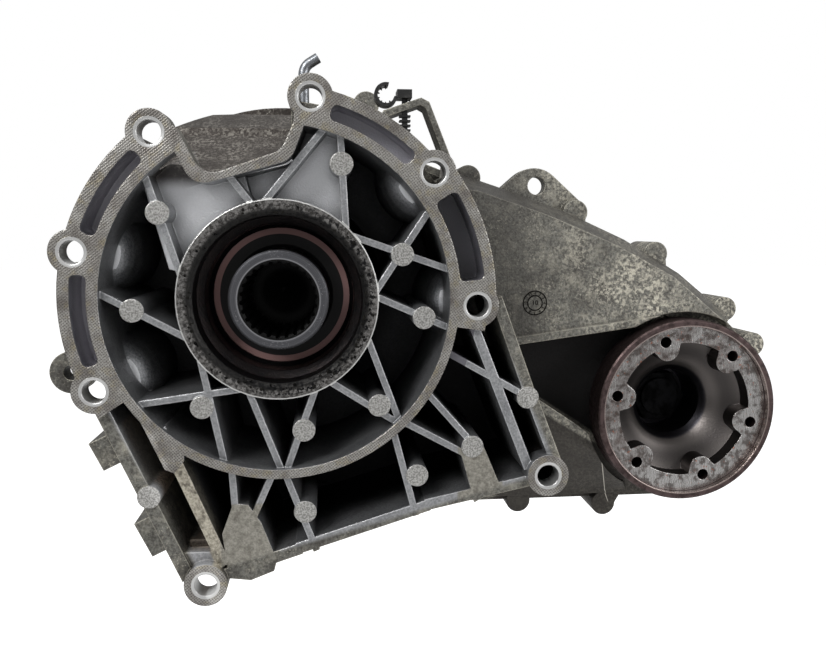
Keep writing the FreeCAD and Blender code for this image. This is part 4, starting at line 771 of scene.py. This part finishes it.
@dataclass(frozen=True)
class FlangeFinish:
    """Forged flange: brown rim, silvery turned bolting face with rust spots, dark satin bowl with painted
    shade deep inside.
    """

    x: float
    z: float
    face_y: float
    rim: str = "574a49"
    rim_shade: str = "3d3433"
    inner_rim: str = "a39590"
    face: str = "c9c8c6"
    bowl: str = "54504e"
    scoop: str = "2b2929"
    deep: str = "2c2b2e"
    rust: str = "b0603a"
    face_r: float = 50.4
    bowl_r: float = 45.0
    scoop_r: float = 30.0
    tube_r: float = 23.8
    dark_side_reach: float = 30.0
    inner_rim_ring: Span = (50.0, 51.3, 0.15)
    inner_rim_y: Span = (49.0, 53.8, 0.2)

    def paint(self, place: Place) -> tuple[Socket, Socket, Socket]:
        """Paints the flange zone by zone.

        Args:
            place: Where the point lies.

        Returns:
            Colour, roughness and relief.
        """
        reach = place.radius(self.x, self.z)
        oxide = place.blotch(4.0, 0.42, 0.62)
        colour = place.tint(self.rim, self.rim_shade, oxide)
        inner = place.both(place.band(reach, *self.inner_rim_ring), place.band(place.y, *self.inner_rim_y))
        colour = place.tint(colour, self.inner_rim, inner)
        rough = place.level(place.level(0.42, 0.6, oxide), 0.2, inner)
        face = place.both(place.facing, place.band(place.y, self.face_y - 0.5, self.face_y + 0.5, 0.1),
                          place.below(reach, self.face_r, 0.2))
        colour = place.tint(colour, self.bolting_face(place), face)
        rough = place.level(rough, 0.26, face)
        bowl = place.both(place.below(reach, self.bowl_r, 0.1), place.above(place.y, self.face_y + 0.6, 0.1))
        colour = place.tint(colour, self.bowl, bowl)
        rough = place.level(rough, 0.36, bowl)
        # painted shade deep in the bowl, near its wall
        scoop = place.both(bowl, place.above(reach, self.scoop_r, 3.0), place.above(place.y, 66.0, 3.0))
        colour = place.tint(colour, self.scoop, scoop, 0.6)
        # painted shade deep in the bore
        deep = place.both(place.below(reach, self.tube_r, 0.8), place.above(place.y, self.face_y + 16.0, 6.0))
        colour = place.tint(colour, self.deep, deep)
        return colour, rough, place.blotch(1.0, 0.35, 0.65, detail=2.0, seed=17.0)

    def bolting_face(self, place: Place) -> Socket:
        """Colours the turned face, darkened towards the upper left as a painted reflection mottled like a
        brown stain, and spotted with rust.

        Args:
            place: Where the point lies.

        Returns:
            The colour.
        """
        turned = add(place.tree, "ShaderNodeTexWave",
                     {"Vector": place.point, "Scale": 0.35, "Distortion": 6.0, "Detail": 3.0},
                     wave_type="BANDS").outputs[1]
        silver = place.tint(self.face, "8a8786", turned)
        # painted reflection: the face darker towards the upper left, mottled like a stain
        diagonal = ((self.x - self.dark_side_reach, self.z - self.dark_side_reach),
                    (self.x + self.dark_side_reach, self.z + self.dark_side_reach))
        reflection_and_stain = place.both(place.band(place.beyond(diagonal), -4.0, 90.0, 14.0),
                             place.blotch(7.0, 0.35, 0.7, seed=45.0))
        silver = place.tint(silver, "6a605c", reflection_and_stain)
        silver = place.tint(silver, "4a403c", place.blotch(4.0, 0.47, 0.6, detail=6.0, seed=47.0), 0.75)
        return place.tint(silver, self.rust, place.blotch(2.6, 0.63, 0.7, seed=41.0), 0.7)

    def build(self) -> bpy.types.Material:
        """Makes the material."""
        return metal("forged_steel_flange", 1.0, self.paint, bevel_mm=0.7, relief_mm=0.03)


@dataclass(frozen=True)
class SealFinish:
    """Moulded rubber oil seal: maroon coated case, black lip, both matt."""

    x: float = 0.0
    z: float = 0.0
    lip: str = "1a191a"
    case: str = "90716e"
    ring_in: float = 32.8

    def paint(self, place: Place) -> tuple[Socket, Socket, Socket]:
        """Paints the case round the lip.

        Args:
            place: Where the point lies.

        Returns:
            Colour, roughness and relief.
        """
        ring = place.above(place.radius(self.x, self.z), self.ring_in, 0.15)
        colour = place.tint(self.lip, self.case, ring)
        return colour, place.level(0.35, 0.5, ring), place.blotch(0.8, 0.3, 0.7, detail=2.0)

    def build(self) -> bpy.types.Material:
        """Makes the material."""
        return metal("moulded_rubber_seal", 0.0, self.paint, bevel_mm=0.3, relief_mm=0.02,
                     Specular_IOR_Level=0.15)


@dataclass(frozen=True)
class NylonFinish:
    """Black moulded nylon: a faint satin skin under a little dust."""

    skin: str = "141414"
    dust: str = "2b2a28"

    def paint(self, place: Place) -> tuple[Socket, Socket, Socket]:
        """Paints the skin with dust on it.

        Args:
            place: Where the point lies.

        Returns:
            Colour, roughness and relief.
        """
        dusty = place.blotch(3.0, 0.5, 0.75)
        return place.tint(self.skin, self.dust, dusty), place.level(0.35, 0.6, dusty), dusty

    def build(self) -> bpy.types.Material:
        """Makes the material."""
        return metal("moulded_nylon_black", 0.0, self.paint, bevel_mm=0.2, relief_mm=0.02)


# --- mesh helpers ------------------------------------------------------
def start(kind: Callable[..., Any], stretch: tuple[float, float, float] = (1.0, 1.0, 1.0),
          **how: Any) -> bpy.types.Object:
    """Adds a primitive with nothing else selected.

    Args:
        kind: Operator that adds the primitive.
        stretch: Factors along the primitive's own axes.
        how: Its size and place.

    Returns:
        The new object.
    """
    bpy.ops.object.select_all(action="DESELECT")
    kind(**how)
    piece = bpy.context.view_layer.objects.active
    piece.scale = stretch
    bpy.ops.object.transform_apply(location=True, rotation=True, scale=True)
    return piece


def choose(pieces: list[bpy.types.Object]) -> None:
    """Selects these pieces alone and makes the first of them active.

    Args:
        pieces: What the next operator acts on.
    """
    bpy.ops.object.select_all(action="DESELECT")
    for piece in pieces:
        piece.select_set(True)
    bpy.context.view_layer.objects.active = pieces[0]


def settle(piece: bpy.types.Object, name: str, material: bpy.types.Material) -> None:
    """Applies a piece's place, names it, dresses it and sets it on the casing.

    Args:
        piece: The finished mesh.
        name: Name of the piece.
        material: What it is made of.
    """
    choose([piece])
    bpy.ops.object.transform_apply(location=True, rotation=True, scale=True)
    piece.name = name
    piece.data.materials.clear()
    piece.data.materials.append(material)
    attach(piece, CASING)
    LOG.info("piece %s on %s", name, CASING)


def join(parts: list[bpy.types.Object]) -> bpy.types.Object:
    """Joins several objects into the first of them.

    Args:
        parts: The objects.

    Returns:
        The first, which holds them all.
    """
    choose(parts)
    bpy.ops.object.join()
    return parts[0]


def modify(piece: bpy.types.Object, kind: str, **settings: Any) -> None:
    """Adds a modifier to a piece and applies it.

    Args:
        piece: The piece.
        kind: Blender's name of the modifier type.
        settings: Attributes of the modifier.
    """
    choose([piece])
    modifier = piece.modifiers.new(kind.lower(), kind)
    for name, value in settings.items():
        setattr(modifier, name, value)
    bpy.ops.object.modifier_apply(modifier=modifier.name)


def dress(node: str, material: bpy.types.Material, smooth_deg: float = 32.0) -> None:
    """Gives a CAD node its material and shades its curves smooth.

    Args:
        node: Name of the node.
        material: What it is made of.
        smooth_deg: Edges flatter than this are shaded as one curve.
    """
    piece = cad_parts[node]
    piece.data.polygons.foreach_set("use_smooth", [True] * len(piece.data.polygons))
    weld = piece.modifiers.new("weld", "WELD")
    weld.merge_threshold = 0.002 * MM
    split = piece.modifiers.new("split", "EDGE_SPLIT")
    split.split_angle = math.radians(smooth_deg)
    split.use_edge_sharp = False
    if not piece.material_slots:
        piece.data.materials.append(material)
    for slot in piece.material_slots:
        slot.material = material


# --- sub-assemblies ----------------------------------------------------
@dataclass
class FrontCasing:
    """Front casing with its foundry date dial, the web at its ear and the sealant left on the hub."""

    ear_circle: float = 100.0
    ear_angles: tuple[float, ...] = (-2.0, 39.0, 80.0, 126.0, 166.0, 206.0)
    lower_ears: tuple[tuple[float, float], ...] = ((-39.5, -145.5), (138.5, -93.5))
    smooth_deg: float = 42.0
    dial: tuple[float, float, float] = (145.4, 60.0, -7.8)
    dial_r: float = 7.0
    dial_inner: float = 0.62
    dial_months: float = 0.81
    dial_wire_r: float = 0.36
    month_size: float = 2.2
    year: str = "10"
    year_size: float = 4.0
    number_lift: float = 0.05
    number_t: float = 0.2
    web_span: Line = ((-49.5, -141.5), (-33.5, -126.0))
    web_y: float = 13.5
    web_t: float = 5.0
    web_round: float = 1.2
    crumbs: int = 150
    crumb_y: float = 2.0
    crumb_reach: tuple[float, float] = (42.6, 47.8)
    crumb_r: tuple[float, float] = (0.35, 1.0)
    crumb_width: tuple[float, float] = (0.6, 1.5)
    crumb_depth: float = 0.8
    crumb_height: tuple[float, float] = (0.6, 1.4)
    crumb_turn: float = 3.0
    bare_from: float = 0.1
    bare_share: float = 0.55

    def holes(self) -> tuple[tuple[float, float], ...]:
        """Works out the centres of the eight ear holes.

        Returns:
            Their places in the XZ plane, the six on the bell first.
        """
        turns = [math.radians(angle) for angle in self.ear_angles]
        ring = [(self.ear_circle * math.cos(turn), self.ear_circle * math.sin(turn)) for turn in turns]
        return tuple(ring) + self.lower_ears

    def build(self) -> None:
        """Dresses the casing and adds its small pieces."""
        dress("front_casing", FrontCastingFinish(self.holes()).build(), self.smooth_deg)
        # engraving: matt and nearly black
        self.date_dial(TurnedSteel("near_black_engraving", "262523", "171615", polish=0.6).build())
        # cast skin stained by old oil: dull brown, seldom rubbed
        web = CastAluminium(skin="5d554d", shade="3a332e", stain="2c2622", rubbed_and_highlight="8f8778")
        self.ear_web(web.build())
        self.sealant()

    def ear_web(self, material: bpy.types.Material) -> None:
        """Cast web that closes the end of the long channel above the lower left ear.

        Args:
            material: What it is made of.
        """
        (x0, z0), (x1, z1) = self.web_span
        web = start(bpy.ops.mesh.primitive_plane_add, size=1.0, rotation=(math.pi / 2, 0, 0),
                    location=((x0 + x1) / 2 * MM, self.web_y * MM, (z0 + z1) / 2 * MM),
                    stretch=((x1 - x0) * MM, (z1 - z0) * MM, 1.0))
        bpy.ops.object.mode_set(mode="EDIT")
        bpy.ops.mesh.select_all(action="SELECT")
        bpy.ops.mesh.extrude_region_move(TRANSFORM_OT_translate={"value": (0.0, self.web_t * MM, 0.0)})
        bpy.ops.mesh.select_all(action="SELECT")
        bpy.ops.mesh.normals_make_consistent(inside=False)
        bpy.ops.object.mode_set(mode="OBJECT")
        modify(web, "BEVEL", width=self.web_round * MM, segments=3)
        settle(web, "ear_channel_web", material)

    def date_dial(self, material: bpy.types.Material) -> None:
        """Foundry date dial: two rings, the twelve months between them and the year inside.

        Args:
            material: What it is made of.
        """
        x, y, z = (v * MM for v in self.dial)
        parts = []
        for radius in (self.dial_r, self.dial_inner * self.dial_r):
            parts.append(start(bpy.ops.mesh.primitive_torus_add, major_radius=radius * MM,
                               minor_radius=self.dial_wire_r * MM, major_segments=60, minor_segments=8,
                               location=(x, y, z), rotation=(math.pi / 2, 0, 0)))
        front = y - self.number_lift * MM
        reach = self.dial_months * self.dial_r * MM
        for month in range(12):
            turn = math.radians(90 - 30 * month)
            spot = (x + reach * math.cos(turn), front, z + reach * math.sin(turn))
            parts.append(self.number(str(month + 1), self.month_size, spot, math.pi / 2 - turn))
        parts.append(self.number(self.year, self.year_size, (x, front, z), 0.0))
        settle(join(parts), "foundry_date_dial", material)

    def number(self, text: str, size_mm: float, spot: tuple[float, float, float],
               turn: float) -> bpy.types.Object:
        """A raised number that faces the front, as a mesh.

        Args:
            text: Its digits.
            size_mm: Their size.
            spot: Its centre in metres.
            turn: Its turn about Y in radians.

        Returns:
            The number.
        """
        bpy.ops.object.select_all(action="DESELECT")
        bpy.ops.object.text_add(location=spot, rotation=(math.pi / 2, turn, 0))
        piece = bpy.context.view_layer.objects.active
        piece.data.body = text
        piece.data.size = size_mm * MM
        piece.data.align_x = "CENTER"
        piece.data.align_y = "CENTER"
        piece.data.extrude = self.number_t * MM
        piece.data.resolution_u = 3
        bpy.ops.object.convert(target="MESH")
        return piece

    def sealant(self) -> None:
        """Torn crumbs of hardened sealant on the rim of the hub, fewer at the top."""
        rng = random.Random(4)
        parts = []
        for _ in range(self.crumbs):
            turn = rng.uniform(0, 2 * math.pi)
            if math.sin(turn) > self.bare_from and rng.random() < self.bare_share:
                continue
            reach = rng.uniform(*self.crumb_reach)
            size = rng.uniform(*self.crumb_r)
            spot = (reach * math.cos(turn) * MM, self.crumb_y * MM, reach * math.sin(turn) * MM)
            tumble = [rng.random() * self.crumb_turn for _ in range(3)]
            stretch = (rng.uniform(*self.crumb_width), self.crumb_depth, rng.uniform(*self.crumb_height))
            parts.append(start(bpy.ops.mesh.primitive_ico_sphere_add, subdivisions=1, radius=size * MM,
                               location=spot, rotation=tumble, stretch=stretch))
        # hardened silicone sealant: black, matt and greyed by dust
        finish = TurnedSteel("torn_sealant", "141414", "2a2926", polish=0.6)
        settle(join(parts), "sealant_crumbs", finish.build())


@dataclass
class Shafts:
    """Input shaft, flanges, nuts and seals."""

    out_x: float = 237.5
    out_z: float = -72.5
    face_y: float = 54.6

    def build(self) -> None:
        """Dresses the turning parts that show, and those inside."""
        dress("input_shaft", ShaftFinish().build())
        dress("front_output_flange", FlangeFinish(self.out_x, self.out_z, self.face_y).build())
        # turned steel left in the open: grey under patches of brown rust
        rear = TurnedSteel("turned_steel_rear_flange", "8d8986", "5a4c49").build()
        for node in ("rear_output_flange", "rear_dust_shield"):
            dress(node, rear)
        # phosphate soaked with oil: almost black, faintly satin
        oily = TurnedSteel("phosphated_steel_under_oil", "131314", "0b0b0b", polish=0.45).build()
        for node in ("front_flange_nut", "front_output_shaft"):
            dress(node, oily)
        # dry phosphate: even dark grey, matt
        phosphated = TurnedSteel("phosphated_steel", "46464a", "2c2b2b", polish=0.4).build()
        for node in ("rear_flange_nut", "drain_plug", "filler_plug"):
            dress(node, phosphated)
        dress("input_oil_seal", SealFinish().build())
        dress("rear_output_seal", SealFinish().build())
        dress("front_output_seal", SealFinish(self.out_x, self.out_z).build())
        # ground steel: bright and smooth; hardened steel: grey with a soft shine
        ground = TurnedSteel("ground_steel", "b5b5b5", "8d8c8a", polish=0.16).build()
        hardened = TurnedSteel("case_hardened_steel", "8b8b8e", "5e5d60", polish=0.28).build()
        # bored bronze: warm gold-brown; soft copper: dull red-brown
        bronze = TurnedSteel("bored_bronze", "b98b4e", "8a6434", polish=0.25).build()
        copper = TurnedSteel("soft_copper", "b8764f", "7d4c34", polish=0.35).build()
        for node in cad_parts:
            if "bearing" in node or node in ("planet_pins", "rear_output_shaft", "joint_dowels"):
                dress(node, ground)
            elif node.endswith("_washer"):
                dress(node, copper)
            elif node.startswith(("planet", "sun_gear", "ring_gear", "drive_", "driven_")):
                dress(node, bronze if node == "sun_gear_bush" else hardened)


@dataclass
class CaseFittings:
    """Rear casing, bolts, breather tube and harness clip."""

    loop: tuple[float, float, float] = (57.0, 48.5, 107.5)
    loop_turns: tuple[int, int] = (90, 341)
    tooth_turn: int = 36
    tooth_reach: float = 4.1
    tooth_l: float = 1.5
    tooth_root_r: float = 0.8
    tooth_tip_r: float = 0.25
    tooth_round: float = 0.1
    tooth_stretch: float = 4.6

    def build(self) -> None:
        """Dresses the fittings."""
        rear = CastAluminium(skin="6f6c68", stain="45413d", rubbed_and_highlight="8d897f")
        dress("rear_casing", rear.build())
        # zinc plate: bright with a dull yellow-grey bloom
        bolt = TurnedSteel("zinc_plated_steel", "a5a39c", "6d685e")
        dress("casing_bolts", bolt.build())
        # drawn tube: cool grey with a soft sheen
        tube = TurnedSteel("drawn_steel_tube", "8c8f93", "55575a", share=0.55)
        dress("breather_tube", tube.build())
        nylon = NylonFinish().build()
        dress("harness_clip", nylon)
        self.clip_teeth(nylon)

    def clip_teeth(self, material: bpy.types.Material) -> None:
        """Small gripping teeth inside the open loop of the clip.

        Args:
            material: What they are made of.
        """
        x, y, z = self.loop
        parts = []
        for turn in range(*self.loop_turns, self.tooth_turn):
            a = math.radians(turn)
            spot = (x + self.tooth_reach * math.cos(a), y, z + self.tooth_reach * math.sin(a))
            tooth = start(bpy.ops.mesh.primitive_cone_add, vertices=4, radius1=self.tooth_root_r * MM,
                          radius2=self.tooth_tip_r * MM, depth=self.tooth_l * MM,
                          location=[v * MM for v in spot], rotation=(0, -a - math.pi / 2, 0),
                          stretch=(1.0, self.tooth_stretch, 1.0))
            modify(tooth, "BEVEL", width=self.tooth_round * MM, segments=2)
            parts.append(tooth)
        settle(join(parts), "harness_clip_teeth", material)


@dataclass
class Studio:
    """Camera, lamps, floor and white surroundings."""

    spot: tuple[float, float, float] = (0.0262, -0.3927, 0.0341)
    right: tuple[float, float, float] = (0.99465, -0.10331, 0.0)
    up: tuple[float, float, float] = (0.01257, 0.12105, 0.99257)
    lens_mm: float = 34.38741
    sensor_mm: float = 36.0
    floor_z: float = -0.55
    floor_side: float = 24.0
    floor_grey: float = 0.8
    floor_glow: float = 0.75
    room_light: float = 0.5
    aim: tuple[float, float, float] = (0.08, 0.08, -0.02)
    lamps: tuple[tuple[str, tuple[float, float, float], float, float], ...] = (
        ("key_lamp", (-0.75, -0.75, 0.85), 0.6, 17.0),
        ("fill_lamp", (1.15, -0.65, 0.3), 0.8, 8.0),
        ("top_lamp", (0.15, 0.1, 1.3), 0.8, 8.0),
    )

    def camera(self) -> None:
        """Sets the camera from its place, its own right and up, and its lens."""
        data = bpy.data.cameras.new("camera")
        data.sensor_width = self.sensor_mm
        data.lens = self.lens_mm
        data.clip_start = 0.01
        data.clip_end = 30.0
        camera = bpy.data.objects.new("camera", data)
        right = Vector(self.right).normalized()
        up = Vector(self.up).normalized()
        back = right.cross(up)
        turn = Matrix((right, up, back)).transposed().to_4x4()
        camera.matrix_world = Matrix.Translation(self.spot) @ turn
        bpy.context.scene.collection.objects.link(camera)
        bpy.context.scene.camera = camera

    def lamp(self, name: str, spot: tuple[float, float, float], width: float, power: float) -> None:
        """Adds a soft lamp that faces the case.

        Args:
            name: Its name.
            spot: Where it hangs, in metres.
            width: Side of its square.
            power: Its power in watts.
        """
        data = bpy.data.lights.new(name, "AREA")
        data.shape = "SQUARE"
        data.size = width
        data.energy = power
        lamp = bpy.data.objects.new(name, data)
        lamp.location = spot
        aim = Vector(self.aim) - Vector(spot)
        lamp.rotation_euler = aim.to_track_quat("-Z", "Y").to_euler()
        bpy.context.scene.collection.objects.link(lamp)

    def surroundings(self) -> None:
        """White world and pale floor."""
        world = bpy.data.worlds.new("white_room")
        bpy.context.scene.world = world
        world.use_nodes = True
        tree = world.node_tree
        tree.nodes.clear()
        path = add(tree, "ShaderNodeLightPath")
        seen = add(tree, "ShaderNodeMath",
                   {0: path.outputs["Is Camera Ray"], 1: path.outputs["Is Transmission Ray"]},
                   operation="MAXIMUM")
        strength = add(tree, "ShaderNodeMix", {0: seen.outputs[0], 2: self.room_light, 3: 1.0},
                       data_type="FLOAT")
        back = add(tree, "ShaderNodeBackground", {"Color": (1, 1, 1, 1), "Strength": strength.outputs[0]})
        add(tree, "ShaderNodeOutputWorld", {0: back.outputs[0]})
        floor = start(bpy.ops.mesh.primitive_plane_add, size=self.floor_side, location=(0, 0, self.floor_z))
        floor.name = "floor"
        pale = bpy.data.materials.new("matt_white_board")
        pale.use_nodes = True
        tree = pale.node_tree
        tree.nodes.clear()
        path = add(tree, "ShaderNodeLightPath")
        grey = (self.floor_grey, self.floor_grey, self.floor_grey, 1)
        board = add(tree, "ShaderNodeBsdfDiffuse", {"Color": grey})
        glow = add(tree, "ShaderNodeEmission", {"Color": (1, 1, 1, 1), "Strength": self.floor_glow})
        both = add(tree, "ShaderNodeAddShader", {0: board.outputs[0], 1: glow.outputs[0]})
        mix = add(tree, "ShaderNodeMixShader", {0: path.outputs["Is Camera Ray"], 1: board.outputs[0],
                                                2: both.outputs[0]})
        add(tree, "ShaderNodeOutputMaterial", {0: mix.outputs[0]})
        floor.data.materials.append(pale)

    def build(self) -> None:
        """Sets up camera, lamps and surroundings."""
        bpy.context.scene.view_settings.view_transform = "Standard"
        self.camera()
        for lamp in self.lamps:
            self.lamp(*lamp)
        self.surroundings()


def main() -> None:
    """Builds the studio and every sub-assembly in order."""
    logging.basicConfig(level=logging.INFO, format="%(name)s: %(message)s")
    for part in (Studio(), FrontCasing(), Shafts(), CaseFittings()):
        part.build()
        LOG.info("built %s", type(part).__name__)


if __name__ == "__main__":
    main()
